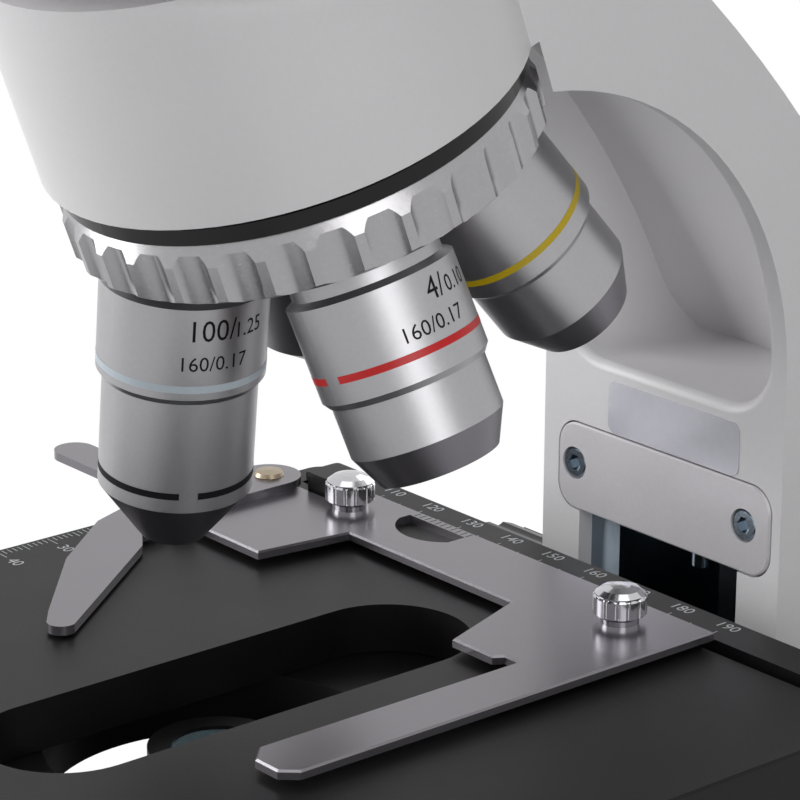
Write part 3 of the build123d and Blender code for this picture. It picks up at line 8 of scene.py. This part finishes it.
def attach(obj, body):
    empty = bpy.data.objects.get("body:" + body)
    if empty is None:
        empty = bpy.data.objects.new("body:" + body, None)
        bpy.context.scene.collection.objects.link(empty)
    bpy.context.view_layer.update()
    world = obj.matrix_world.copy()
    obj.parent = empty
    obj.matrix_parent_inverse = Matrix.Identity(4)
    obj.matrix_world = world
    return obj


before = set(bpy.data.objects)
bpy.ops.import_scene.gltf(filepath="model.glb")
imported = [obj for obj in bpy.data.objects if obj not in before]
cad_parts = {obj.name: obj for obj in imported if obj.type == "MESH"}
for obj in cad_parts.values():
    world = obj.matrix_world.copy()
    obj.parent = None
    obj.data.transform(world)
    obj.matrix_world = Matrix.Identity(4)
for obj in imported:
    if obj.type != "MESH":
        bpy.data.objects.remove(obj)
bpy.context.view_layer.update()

# Places and sizes are in millimetres, and off_axis() and mm() turn them into metres. The optical axis
# is the vertical line x = 0, y = AXIS_Y, and the user sits on the -Y side.
AXIS_Y = -12.88
RULER_Z = 152
STAGE_TOP = 151
RAIL_Y = 69
STAGE_LEFT = -69.3
HOLDER_TOP = 153.5
ARM_FACE_Y = 90.5
APEX_Z = 274.1
TILT = radians(20.45)
TURRET_SPIN = Vector((0, sin(TILT), -cos(TILT)))
TURRET_FRONT = Vector((0, -cos(TILT), -sin(TILT)))
TURRET_REST = -23.06
POSITIONS = {"100x": 0, "4x": 90, "10x": 180, "40x": 270}
CONE_START = {"100x": 95.1, "4x": 85.4, "10x": 89.2, "40x": 94.2}
BARREL_R = 12.5
NOSE_100_R = 11.5
HUB_Y = -26
HUB_Z = 322
HEAD_TILT = radians(30)
PUPIL_X = 32
PUPIL_DROP = -sqrt(37.5 ** 2 - PUPIL_X ** 2)
EYEPIECE_END = 88
PRINT_LIFT = 0.02
RING_PROUD = 0.03
RING_SUNK = 0.15
RING_STEP_DEGREES = 3
CAPITAL_SHARE = 0.73
LETTER_SLICE = 0.5

# Finish values: where the noise's dark and light ends lie, how far the sheen wavers, and the grain's
# depth in metres
NOISE_LOW = 0.3
NOISE_HIGH = 0.7
BLOTCH_SHARE = 0.4
SHEEN_SPREAD = 0.12
COAT_ROUGHNESS = 0.12
GRAIN_DEPTH = 0.0002
TURNED = (6, 6, 400)
# Painted shade: this darker colour on the objectives' front cones stands in for the shade and dark
# reflection where they face the stage below
CONE_SHADE_COLOUR = (0.175, 0.168, 0.185)

# Sockets of the Mix node, which shows one set for numbers and another for colours
NUMBER_A, NUMBER_B, NUMBER_RESULT = 2, 3, 0
COLOUR_A, COLOUR_B, COLOUR_RESULT = 6, 7, 2


def mm(*point):
    """A point given in millimetres, in metres."""
    return Vector([value / 1000 for value in point])


def off_axis(x, y, z):
    """A point given from the optical axis, in metres."""
    return mm(x, AXIS_Y + y, z)


# Materials

def node_of(tree, kind, **values):
    """Add one shader node and set its inputs by name."""
    node = tree.nodes.new(kind)
    for key, value in values.items():
        node.inputs[key].default_value = value
    return node


def surface(name, colour, metallic, roughness, spread=0.08, scale=900, bump=0.06, stretch=None,
            turn=None, coat=0.0, mottle=60, gloss=0.5):
    """A procedural surface: a mottled colour, an uneven sheen and a fine grain or brushing."""
    made = bpy.data.materials.new(name)
    made.use_nodes = True
    tree = made.node_tree
    link = tree.links.new
    shader = tree.nodes["Principled BSDF"]
    shader.inputs["Metallic"].default_value = metallic
    shader.inputs["Coat Weight"].default_value = coat
    shader.inputs["Coat Roughness"].default_value = COAT_ROUGHNESS
    shader.inputs["Specular IOR Level"].default_value = gloss
    place = tree.nodes.new("ShaderNodeTexCoord")
    mapping = tree.nodes.new("ShaderNodeMapping")
    link(place.outputs["Object"], mapping.inputs["Vector"])
    if turn is not None:
        mapping.vector_type = "TEXTURE"
        mapping.inputs["Rotation"].default_value = turn
    source = mapping.outputs["Vector"]
    if stretch:
        wide = tree.nodes.new("ShaderNodeMapping")
        wide.inputs["Scale"].default_value = stretch
        link(source, wide.inputs["Vector"])
        source = wide.outputs["Vector"]
    grain = node_of(tree, "ShaderNodeTexNoise", Scale=scale, Detail=4.0, Roughness=0.6)
    link(source, grain.inputs["Vector"])
    blotch = node_of(tree, "ShaderNodeTexNoise", Scale=mottle, Detail=3.0, Roughness=0.55)
    link(place.outputs["Object"], blotch.inputs["Vector"])
    blend = tree.nodes.new("ShaderNodeMix")
    blend.inputs["Factor"].default_value = BLOTCH_SHARE
    link(grain.outputs["Fac"], blend.inputs[NUMBER_A])
    link(blotch.outputs["Fac"], blend.inputs[NUMBER_B])
    mixed = blend.outputs[NUMBER_RESULT]
    tint = tree.nodes.new("ShaderNodeValToRGB")
    dark = [channel * (1 - spread) for channel in colour]
    light = [min(1, channel * (1 + spread)) for channel in colour]
    tint.color_ramp.elements[0].position = NOISE_LOW
    tint.color_ramp.elements[0].color = (*dark, 1)
    tint.color_ramp.elements[1].position = NOISE_HIGH
    tint.color_ramp.elements[1].color = (*light, 1)
    link(mixed, tint.inputs["Fac"])
    link(tint.outputs["Color"], shader.inputs["Base Color"])
    waver = {"From Min": NOISE_LOW, "From Max": NOISE_HIGH,
             "To Min": roughness * (1 - SHEEN_SPREAD), "To Max": roughness * (1 + SHEEN_SPREAD)}
    sheen = node_of(tree, "ShaderNodeMapRange", **waver)
    link(mixed, sheen.inputs["Value"])
    link(sheen.outputs["Result"], shader.inputs["Roughness"])
    relief = node_of(tree, "ShaderNodeBump", Strength=bump, Distance=GRAIN_DEPTH)
    link(grain.outputs["Fac"], relief.inputs["Height"])
    link(relief.outputs["Normal"], shader.inputs["Normal"])
    return made


def glass(name, colour):
    """Coated lens glass with a faint uneven tint."""
    made = surface(name, colour, 0.0, 0.03, spread=0.12, scale=40, bump=0.005, mottle=25)
    shader = made.node_tree.nodes["Principled BSDF"]
    shader.inputs["Transmission Weight"].default_value = 0.75
    shader.inputs["IOR"].default_value = 1.5
    return made


def objective_axis(name):
    """The direction in which an objective points, away from the turret."""
    around = radians(TURRET_REST + POSITIONS[name])
    across = Vector((sin(TILT) * sin(around), 0, 0))
    return TURRET_SPIN * cos(TILT) + TURRET_FRONT * (sin(TILT) * cos(around)) + across


def darken_cone(made, name):
    """Paint shade onto an objective's front cone: a darker colour from the cone's start along the barrel,
    where the cone faces the dark stage.
    """
    tree = made.node_tree
    link = tree.links.new
    shader = tree.nodes["Principled BSDF"]
    bright = shader.inputs["Base Color"].links[0].from_socket
    place = tree.nodes.new("ShaderNodeTexCoord")
    reach = tree.nodes.new("ShaderNodeVectorMath")
    reach.operation = "SUBTRACT"
    reach.inputs[1].default_value = off_axis(0, 0, APEX_Z)
    station = tree.nodes.new("ShaderNodeVectorMath")
    station.operation = "DOT_PRODUCT"
    station.inputs[1].default_value = objective_axis(name)
    # Painted shade: one past the cone's start along the objective's axis, where the darker colour goes
    in_cone_shade = tree.nodes.new("ShaderNodeMath")
    in_cone_shade.operation = "GREATER_THAN"
    in_cone_shade.inputs[1].default_value = CONE_START[name] / 1000
    choose = tree.nodes.new("ShaderNodeMix")
    choose.data_type = "RGBA"
    choose.inputs[COLOUR_B].default_value = (*CONE_SHADE_COLOUR, 1)
    link(place.outputs["Object"], reach.inputs[0])
    link(reach.outputs["Vector"], station.inputs[0])
    link(station.outputs["Value"], in_cone_shade.inputs[0])
    link(in_cone_shade.outputs["Value"], choose.inputs["Factor"])
    link(bright, choose.inputs[COLOUR_A])
    link(choose.outputs[COLOUR_RESULT], shader.inputs["Base Color"])
    return made


def facing(direction):
    """Euler angles that turn +Z into the direction."""
    return direction.to_track_quat("Z", "Y").to_euler()


white = surface("white_enamel", (0.80, 0.79, 0.80), 0.0, 0.34, spread=0.02, scale=1400, bump=0.03, coat=0.08,
                gloss=0.3)
black_satin = surface("black_satin", (0.010, 0.0095, 0.010), 0.0, 0.42, spread=0.25, scale=2600, bump=0.10,
                      gloss=0.16)
stage_black = surface("stage_black", (0.008, 0.0072, 0.0074), 0.0, 0.40, spread=0.3, scale=2200, bump=0.07,
                      gloss=0.14)
turret_black = surface("turret_black", (0.004, 0.004, 0.004), 0.0, 0.22, spread=0.3, scale=300, bump=0.02,
                       gloss=0.25)
plate_grey = surface("plate_grey", (0.20, 0.19, 0.208), 0.75, 0.24, spread=0.05, scale=3200, bump=0.05)
chrome = surface("chrome", (0.52, 0.52, 0.54), 1.0, 0.12, spread=0.03, scale=500, bump=0.02)
machined = surface("machined", (0.33, 0.325, 0.335), 1.0, 0.25, spread=0.05, scale=260, bump=0.06,
                   stretch=(5, 5, 60), turn=facing(TURRET_SPIN), mottle=1400)
steel = surface("steel", (0.26, 0.31, 0.36), 1.0, 0.22, spread=0.08, scale=1200, bump=0.06)
rivet_brass = surface("rivet_brass", (0.34, 0.28, 0.20), 0.9, 0.32, spread=0.08, scale=900, bump=0.05)
plastic = surface("black_plastic", (0.012, 0.012, 0.013), 0.0, 0.42, spread=0.2, scale=3000, bump=0.22)
rubber = surface("black_rubber", (0.016, 0.016, 0.017), 0.0, 0.7, spread=0.15, scale=2500, bump=0.3)
frosted = surface("frosted_glass", (0.75, 0.77, 0.76), 0.0, 0.45, spread=0.05, scale=1500, bump=0.1,
                  mottle=90)
lens = glass("lens_glass", (0.55, 0.72, 0.78))
ink = surface("black_print", (0.006, 0.006, 0.007), 0.0, 0.6, spread=0.2, scale=4000, bump=0.04, gloss=0.12)
white_print = surface("white_print", (0.62, 0.64, 0.66), 0.0, 0.5, spread=0.12, scale=4000, bump=0.04)
red = surface("red_band", (0.60, 0.004, 0.006), 0.0, 0.4, spread=0.1, scale=2500, bump=0.04)
yellow = surface("yellow_band", (0.58, 0.42, 0.004), 0.0, 0.4, spread=0.1, scale=2500, bump=0.04)
blue = surface("blue_band", (0.05, 0.22, 0.62), 0.0, 0.4, spread=0.1, scale=2500, bump=0.04)
pale = surface("white_band", (0.56, 0.64, 0.70), 0.0, 0.42, spread=0.06, scale=2500, bump=0.04)
foil = surface("foil_label", (0.56, 0.56, 0.62), 0.1, 0.24, spread=0.05, scale=700, bump=0.05, coat=0.3)
cover = surface("stop_plate_finish", (0.67, 0.655, 0.68), 0.15, 0.34, spread=0.04, scale=1200, bump=0.05)
satin = {}
for name in POSITIONS:
    barrel = surface("satin_" + name, (0.37, 0.366, 0.38), 0.85, 0.33, spread=0.06, scale=900, bump=0.10,
                     stretch=TURNED, turn=facing(objective_axis(name)), mottle=1500)
    # Each objective's material carries painted shade on its front cone
    satin[name] = darken_cone(barrel, name)

BY_NODE = {
    "base_casting": white, "arm_casting": white, "head_housing": white,
    "prism_arm_left": white, "prism_arm_right": white,
    "base_bottom_plate": black_satin, "stage_lower_plate": black_satin, "stage_upper_plate": stage_black,
    "stage_drive_bracket": black_satin, "x_carriage": black_satin, "condenser_carrier": black_satin,
    "condenser_body": black_satin, "iris_lever": black_satin, "filter_holder": black_satin,
    "rubber_feet": rubber, "eyecup_left": rubber, "eyecup_right": rubber,
    "collector_housing": plastic, "lamp_module": plastic, "power_inlet": plastic, "switch_bezel": plastic,
    "power_rocker": plastic, "brightness_dial": plastic, "tension_ring": plastic,
    "coarse_knob_left": plastic, "coarse_knob_right": plastic, "fine_knob_left": plastic,
    "fine_knob_right": plastic, "stage_x_knob": plastic, "stage_y_knob": plastic,
    "condenser_knob": plastic, "hub_cap": plastic, "eyepiece_left": plastic, "eyepiece_right": plastic,
    "dioptre_ring": plastic,
    "field_lens": frosted, "front_lenses": lens, "condenser_lens": lens,
    "stop_plate": cover, "stop_plate_screws": steel, "focus_stop_screw": steel, "focus_guide": steel,
    "coarse_shaft": steel, "focus_carriage": steel, "x_drive_belt": steel, "head_lock_screw": steel,
    "nosepiece_base": turret_black, "turret_ring": machined, "turret_pivot_cap": machined,
    "objective_collars": chrome, "slide_holder_plate": plate_grey, "finger_lever": plate_grey,
    "holder_thumbscrews": chrome, "lever_rivet": rivet_brass,
    "objective_4x": satin["4x"], "objective_10x": satin["10x"], "objective_40x": satin["40x"],
    "objective_100x": satin["100x"], "nose_40x": satin["40x"], "nose_100x": satin["100x"],
}
for node_name, material in BY_NODE.items():
    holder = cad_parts[node_name]
    holder.data.materials.clear()
    holder.data.materials.append(material)


# Pieces that the scene adds

def piece(name, points, faces, material, body):
    """A mesh given in metres that rides on a CAD body."""
    mesh = bpy.data.meshes.new(name)
    mesh.from_pydata([tuple(point) for point in points], [], faces)
    mesh.validate()
    mesh.update()
    made = bpy.data.objects.new(name, mesh)
    bpy.context.scene.collection.objects.link(made)
    made.data.materials.append(material)
    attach(made, body)
    return made


def objective_frame(name):
    """Axis, outward and sideways directions of an objective, for angles round its barrel."""
    axis = objective_axis(name)
    outward = axis - TURRET_SPIN * axis.dot(TURRET_SPIN)
    outward = (outward - axis * outward.dot(axis)).normalized()
    return axis, outward, axis.cross(outward)


def on_barrel(name, radius, station, angle):
    """A point on a barrel, in metres: station from the apex and angle in degrees."""
    axis, outward, sideways = objective_frame(name)
    around = radians(angle)
    return (off_axis(0, 0, APEX_Z) + axis * (station / 1000)
            + (outward * cos(around) + sideways * sin(around)) * (radius / 1000))


def band(label, name, radius, start, end, from_angle, to_angle, material, body):
    """A printed ring round a barrel, as a thin closed strip that may leave a gap."""
    closed = to_angle - from_angle >= 360
    steps = int((to_angle - from_angle) / RING_STEP_DEGREES)
    rows = steps if closed else steps + 1
    inner = radius - RING_SUNK
    outer = radius + RING_PROUD
    section = ((inner, start), (outer, start), (outer, end), (inner, end))
    points = []
    for number in range(rows):
        angle = from_angle + (to_angle - from_angle) * number / steps
        points += [on_barrel(name, away, station, angle) for away, station in section]
    faces = []
    for number in range(steps):
        a = 4 * number
        b = 4 * ((number + 1) % rows)
        for side in range(4):
            after = (side + 1) % 4
            faces.append((a + side, a + after, b + after, b + side))
    if not closed:
        last = 4 * (rows - 1)
        faces.append((3, 2, 1, 0))
        faces.append((last, last + 1, last + 2, last + 3))
    made = piece(label, points, faces, material, body)
    for polygon in made.data.polygons:
        polygon.use_smooth = False
    return made


def lettering(text, height, slice_width=None):
    """Flat text: points in millimetres from its lower left corner, and faces. Slices let it bend."""
    curve = bpy.data.curves.new("letters", "FONT")
    curve.body = text
    curve.size = height / CAPITAL_SHARE
    curve.resolution_u = 3
    holder = bpy.data.objects.new("letters", curve)
    bpy.context.scene.collection.objects.link(holder)
    bpy.context.view_layer.update()
    mesh = bpy.data.meshes.new_from_object(holder.evaluated_get(bpy.context.evaluated_depsgraph_get()))
    if slice_width:
        letters = bmesh.new()
        letters.from_mesh(mesh)
        low_x = min(vertex.co.x for vertex in letters.verts)
        high_x = max(vertex.co.x for vertex in letters.verts)
        for number in range(1, int((high_x - low_x) / slice_width) + 1):
            everything = letters.verts[:] + letters.edges[:] + letters.faces[:]
            bmesh.ops.bisect_plane(letters, geom=everything, plane_co=(low_x + number * slice_width, 0, 0),
                                   plane_no=(1, 0, 0))
        letters.to_mesh(mesh)
        letters.free()
    points = [(vertex.co.x, vertex.co.y) for vertex in mesh.vertices]
    faces = [tuple(polygon.vertices) for polygon in mesh.polygons]
    bpy.data.objects.remove(holder)
    bpy.data.curves.remove(curve)
    bpy.data.meshes.remove(mesh)
    left = min(x for x, y in points)
    return [(x - left, y) for x, y in points], faces


def barrel_text(label, name, text, height, baseline, angle, fills):
    """Printing wrapped round a barrel: it starts at the angle and runs towards smaller ones."""
    flat, faces = lettering(text, height, slice_width=LETTER_SLICE)
    squeeze = radians(fills) * BARREL_R / max(x for x, y in flat) if fills else 1
    points = [on_barrel(name, BARREL_R + PRINT_LIFT, baseline - y, angle - degrees(x * squeeze / BARREL_R))
              for x, y in flat]
    return piece(label, points, faces, ink, "turret")


def flat_text(label, text, centre_x, base_y, z):
    """White figures that lie on the stage, read from the user's side."""
    flat, faces = lettering(text, SCALE_FIGURE)
    half = max(x for x, y in flat) / 2
    points = [off_axis(centre_x + x - half, base_y + y, z + PRINT_LIFT) for x, y in flat]
    return piece(label, points, faces, white_print, "stage_top")


def strokes(label, marks, z, material, body):
    """Thin printed marks on a level face, each given as its low and high corner."""
    points, faces = [], []
    for low_x, low_y, high_x, high_y in marks:
        first = len(points)
        for x, y in ((low_x, low_y), (high_x, low_y), (high_x, high_y), (low_x, high_y)):
            points.append(off_axis(x, y, z + PRINT_LIFT))
        faces.append((first, first + 1, first + 2, first + 3))
    return piece(label, points, faces, material, body)


# Colour rings: label, objective, radius, stations of both edges from the apex, angles, finish and body
RINGS = (
    ("ring_white_100x", "100x", BARREL_R, 74.25, 75.4, 0, 360, pale, "turret"),
    ("ring_yellow_10x", "10x", BARREL_R, 74.25, 75.4, 0, 360, yellow, "turret"),
    ("ring_blue_40x", "40x", BARREL_R, 74.25, 75.4, 0, 360, blue, "turret"),
    ("ring_red_4x", "4x", BARREL_R, 72.4, 73.5, 67.5, 414.6, red, "turret"),
    ("ring_black_100x", "100x", NOSE_100_R, 91.95, 93.0, -77.6, 268.5, ink, "nose100"),
)
for ring in RINGS:
    band(*ring)

# Printing: label, objective, text, height, baseline's station from the apex, start angle, and how many
# degrees of the barrel it fills, or None for the letters' own width
MAGNIFICATION = 3.4
APERTURE = 2.5
TUBE_FIGURES = 2.3
SCALE_FIGURE = 2.2
PRINTING = (
    ("print_100", "100x", "100/", MAGNIFICATION, 67.3, -80.8, 31),
    ("print_125", "100x", "1.25", APERTURE, 67.3, -113, 22),
    ("print_100_tube", "100x", "160/0.17", TUBE_FIGURES, 71.9, -74.5, 47),
    ("print_4", "4x", "4/", MAGNIFICATION, 66.9, -24, 15),
    ("print_010", "4x", "0.10", APERTURE, 66.9, -41, 25),
    ("print_4_tube", "4x", "160/0.17", TUBE_FIGURES, 71.0, 1.0, 48),
    ("print_10", "10x", "10/", MAGNIFICATION, 67.3, -24, None),
    ("print_025", "10x", "0.25", APERTURE, 67.3, -55, None),
    ("print_10_tube", "10x", "160/0.17", TUBE_FIGURES, 71.5, 1.0, None),
    ("print_40", "40x", "40/", MAGNIFICATION, 67.3, -24, None),
    ("print_065", "40x", "0.65", APERTURE, 67.3, -55, None),
    ("print_40_tube", "40x", "160/0.17", TUBE_FIGURES, 71.5, 1.0, None),
)
for row in PRINTING:
    barrel_text(*row)

# Ruler along the rear rail and the scale along the stage's left edge
RULER_150_X = -7.2
RULER_ZERO_X = RULER_150_X - 150
RULER_FIRST = 95
RULER_LAST = 190
RULER_TICKS = (2.2, 1.6, 1.1)
RULER_TICK_Y = RAIL_Y + 0.5
RULER_FIGURE_Y = 73.3
SIDE_ZERO_Y = 46.5
SIDE_LAST = 60
SIDE_TICKS = (3, 2.3, 1.6)
SIDE_TICK_X = STAGE_LEFT + 1
SIDE_FIGURE_X = STAGE_LEFT + 6.6
HALF_STROKE = 0.08


def tick_length(number, lengths):
    """The longest of three lengths at each ten, the middle one at each five, and else the shortest."""
    if number % 10 == 0:
        return lengths[0]
    return lengths[1] if number % 5 == 0 else lengths[2]


for number in range(100, RULER_LAST + 1, 10):
    flat_text(f"ruler_{number}", str(number), RULER_ZERO_X + number, RULER_FIGURE_Y, RULER_Z)
marks = []
for number in range(RULER_FIRST, RULER_LAST + 1):
    x = RULER_ZERO_X + number
    length = tick_length(number, RULER_TICKS)
    marks.append((x - HALF_STROKE, RULER_TICK_Y, x + HALF_STROKE, RULER_TICK_Y + length))
strokes("ruler_marks", marks, RULER_Z, white_print, "stage_top")
marks = []
for number in range(SIDE_LAST + 1):
    y = SIDE_ZERO_Y - number
    length = tick_length(number, SIDE_TICKS)
    marks.append((SIDE_TICK_X, y - HALF_STROKE, SIDE_TICK_X + length, y + HALF_STROKE))
strokes("side_marks", marks, STAGE_TOP, white_print, "stage_top")
for number in range(SIDE_LAST // 10 + 1):
    base_y = SIDE_ZERO_Y - 10 * number - SCALE_FIGURE / 2
    flat_text(f"side_{number}", str(10 * number), SIDE_FIGURE_X, base_y, STAGE_TOP)

# Vernier marks beside the window of the slide holder
VERNIER_X = -33.2
VERNIER_STEP = 1.3
VERNIER_MARKS = 11
VERNIER_STROKE = 0.16
VERNIER_LOW_Y = 66.5
VERNIER_HIGH_Y = 68
marks = []
for number in range(VERNIER_MARKS):
    x = VERNIER_X + VERNIER_STEP * number
    marks.append((x, VERNIER_LOW_Y, x + VERNIER_STROKE, VERNIER_HIGH_Y))
strokes("vernier_marks", marks, HOLDER_TOP, ink, "slide_carrier")

# Bare label above the stop plate
STICKER_PROUD = 0.12
STICKER_THICKNESS = 0.2
CORNER_STEPS = 6


def rounded_plate(label, centre_x, centre_z, width, height, radius, y_front, thickness, material, body):
    """An upright plate with round corners that faces the user."""
    outline = []
    for corner, (sx, sz) in enumerate(((1, 1), (-1, 1), (-1, -1), (1, -1))):
        for step in range(CORNER_STEPS + 1):
            angle = radians(90 * (corner + step / CORNER_STEPS))
            outline.append((centre_x + sx * (width / 2 - radius) + radius * cos(angle),
                            centre_z + sz * (height / 2 - radius) + radius * sin(angle)))
    count = len(outline)
    points = [off_axis(x, y, z) for y in (y_front, y_front + thickness) for x, z in outline]
    faces = [tuple(range(count)), tuple(range(2 * count - 1, count - 1, -1))]
    for number in range(count):
        after = (number + 1) % count
        faces.append((number, after, after + count, number + count))
    return piece(label, points, faces, material, body)


rounded_plate("blank_sticker", 3, 173.3, 30, 9, 1.6, ARM_FACE_Y - STICKER_PROUD, STICKER_THICKNESS, foil,
              "stand")


# Eye lenses inside the two eyepieces
def hub_point(x, up, station):
    """A point in the tilted plane of the head's hub, in metres."""
    return off_axis(x, HUB_Y - cos(HEAD_TILT) * station + sin(HEAD_TILT) * up,
                    HUB_Z + sin(HEAD_TILT) * station + cos(HEAD_TILT) * up)


LENS_R = 8.9
LENS_RISE = 1.4
LENS_RIM = EYEPIECE_END - 4.6


def eye_lens(label, side, body):
    """A domed lens that fills the eyepiece's recess."""
    rings, sides = 5, 40
    points = [hub_point(side * PUPIL_X, PUPIL_DROP, LENS_RIM + LENS_RISE)]
    faces = []
    for ring in range(1, rings + 1):
        share = ring / rings
        radius = LENS_R * share
        for number in range(sides):
            angle = 2 * pi * number / sides
            points.append(hub_point(side * PUPIL_X + radius * cos(angle), PUPIL_DROP + radius * sin(angle),
                                    LENS_RIM + LENS_RISE * (1 - share ** 2)))
    for number in range(sides):
        after = (number + 1) % sides
        faces.append((0, 1 + number, 1 + after))
        for ring in range(rings - 1):
            a, b = 1 + ring * sides, 1 + (ring + 1) * sides
            faces.append((a + number, b + number, b + after, a + after))
    made = piece(label, points, faces, lens, body)
    for polygon in made.data.polygons:
        polygon.use_smooth = True
    return made


eye_lens("eye_lens_right", 1, "eye_right")
eye_lens("eye_lens_left", -1, "eye_left")


# Floor, light and camera
def seen_directly(tree):
    """One for camera, glossy and transmission rays, which see the white background, and else nought."""
    path = tree.nodes.new("ShaderNodeLightPath")
    either = tree.nodes.new("ShaderNodeMath")
    either.operation = "MAXIMUM"
    any_of = tree.nodes.new("ShaderNodeMath")
    any_of.operation = "MAXIMUM"
    tree.links.new(path.outputs["Is Camera Ray"], either.inputs[0])
    tree.links.new(path.outputs["Is Glossy Ray"], either.inputs[1])
    tree.links.new(either.outputs["Value"], any_of.inputs[0])
    tree.links.new(path.outputs["Is Transmission Ray"], any_of.inputs[1])
    return any_of.outputs["Value"]


def camera_only_white(name, other):
    """A material that is plain white where it is seen or mirrored, and pale to every other ray."""
    made = bpy.data.materials.new(name)
    made.use_nodes = True
    tree = made.node_tree
    tree.nodes.clear()
    output = tree.nodes.new("ShaderNodeOutputMaterial")
    mix = tree.nodes.new("ShaderNodeMixShader")
    glow = node_of(tree, "ShaderNodeEmission", Color=(1, 1, 1, 1), Strength=1.0)
    diffuse = node_of(tree, "ShaderNodeBsdfDiffuse", Color=(other, other, other, 1))
    tree.links.new(seen_directly(tree), mix.inputs["Fac"])
    tree.links.new(diffuse.outputs["BSDF"], mix.inputs[1])
    tree.links.new(glow.outputs["Emission"], mix.inputs[2])
    tree.links.new(mix.outputs["Shader"], output.inputs["Surface"])
    return made


bpy.ops.mesh.primitive_plane_add(size=6, location=(0, 0, -0.0005))
floor = bpy.context.object
floor.name = "floor"
floor.data.materials.append(camera_only_white("floor_white", 0.75))

world = bpy.data.worlds.new("studio")
bpy.context.scene.world = world
world.use_nodes = True
tree = world.node_tree
tree.nodes.clear()
output = tree.nodes.new("ShaderNodeOutputWorld")
mix = tree.nodes.new("ShaderNodeMixShader")
ambient = node_of(tree, "ShaderNodeBackground", Color=(0.95, 0.95, 1.0, 1), Strength=0.07)
seen = node_of(tree, "ShaderNodeBackground", Color=(1, 1, 1, 1), Strength=1.0)
tree.links.new(seen_directly(tree), mix.inputs["Fac"])
tree.links.new(ambient.outputs["Background"], mix.inputs[1])
tree.links.new(seen.outputs["Background"], mix.inputs[2])
tree.links.new(mix.outputs["Shader"], output.inputs["Surface"])


LIGHT_TARGET = (0, 0, 180)


def soft_light(name, place, width, height, power):
    """A rectangular soft box aimed at the object, in millimetres from the optical axis and in watts."""
    data = bpy.data.lights.new(name, "AREA")
    data.shape = "RECTANGLE"
    data.size = width / 1000
    data.size_y = height / 1000
    data.energy = power
    lamp = bpy.data.objects.new(name, data)
    bpy.context.scene.collection.objects.link(lamp)
    lamp.location = off_axis(*place)
    aim = off_axis(*LIGHT_TARGET) - off_axis(*place)
    lamp.rotation_euler = aim.to_track_quat("-Z", "Y").to_euler()
    return lamp


soft_light("light_left", (-650, -520, 420), 500, 600, 6.0)
soft_light("light_right", (700, -250, 380), 400, 600, 2.1)
soft_light("light_top", (100, -50, 900), 700, 700, 1.6)
soft_light("light_back", (-250, 700, 500), 500, 500, 1.5)

CAMERA_AZIMUTH = radians(49.81)
CAMERA_ELEVATION = radians(18.07)
CAMERA_ROLL = radians(0.33)
CAMERA_PLACE = (367.93, -275.64, 345.83)
camera_data = bpy.data.cameras.new("camera")
camera_data.sensor_width = 36
camera_data.lens = 151.01
camera_data.clip_start = 0.01
camera_data.clip_end = 20
camera = bpy.data.objects.new("camera", camera_data)
bpy.context.scene.collection.objects.link(camera)
bpy.context.scene.camera = camera
back = Vector((sin(CAMERA_AZIMUTH) * cos(CAMERA_ELEVATION), -cos(CAMERA_AZIMUTH) * cos(CAMERA_ELEVATION),
               sin(CAMERA_ELEVATION)))
level_right = Vector((cos(CAMERA_AZIMUTH), sin(CAMERA_AZIMUTH), 0))
level_up = back.cross(level_right)
right = level_right * cos(CAMERA_ROLL) + level_up * sin(CAMERA_ROLL)
up = level_up * cos(CAMERA_ROLL) - level_right * sin(CAMERA_ROLL)
turn = Matrix((right, up, back)).transposed().to_4x4()
camera.matrix_world = Matrix.Translation(off_axis(*CAMERA_PLACE)) @ turn

bpy.context.scene.view_settings.view_transform = "Standard"
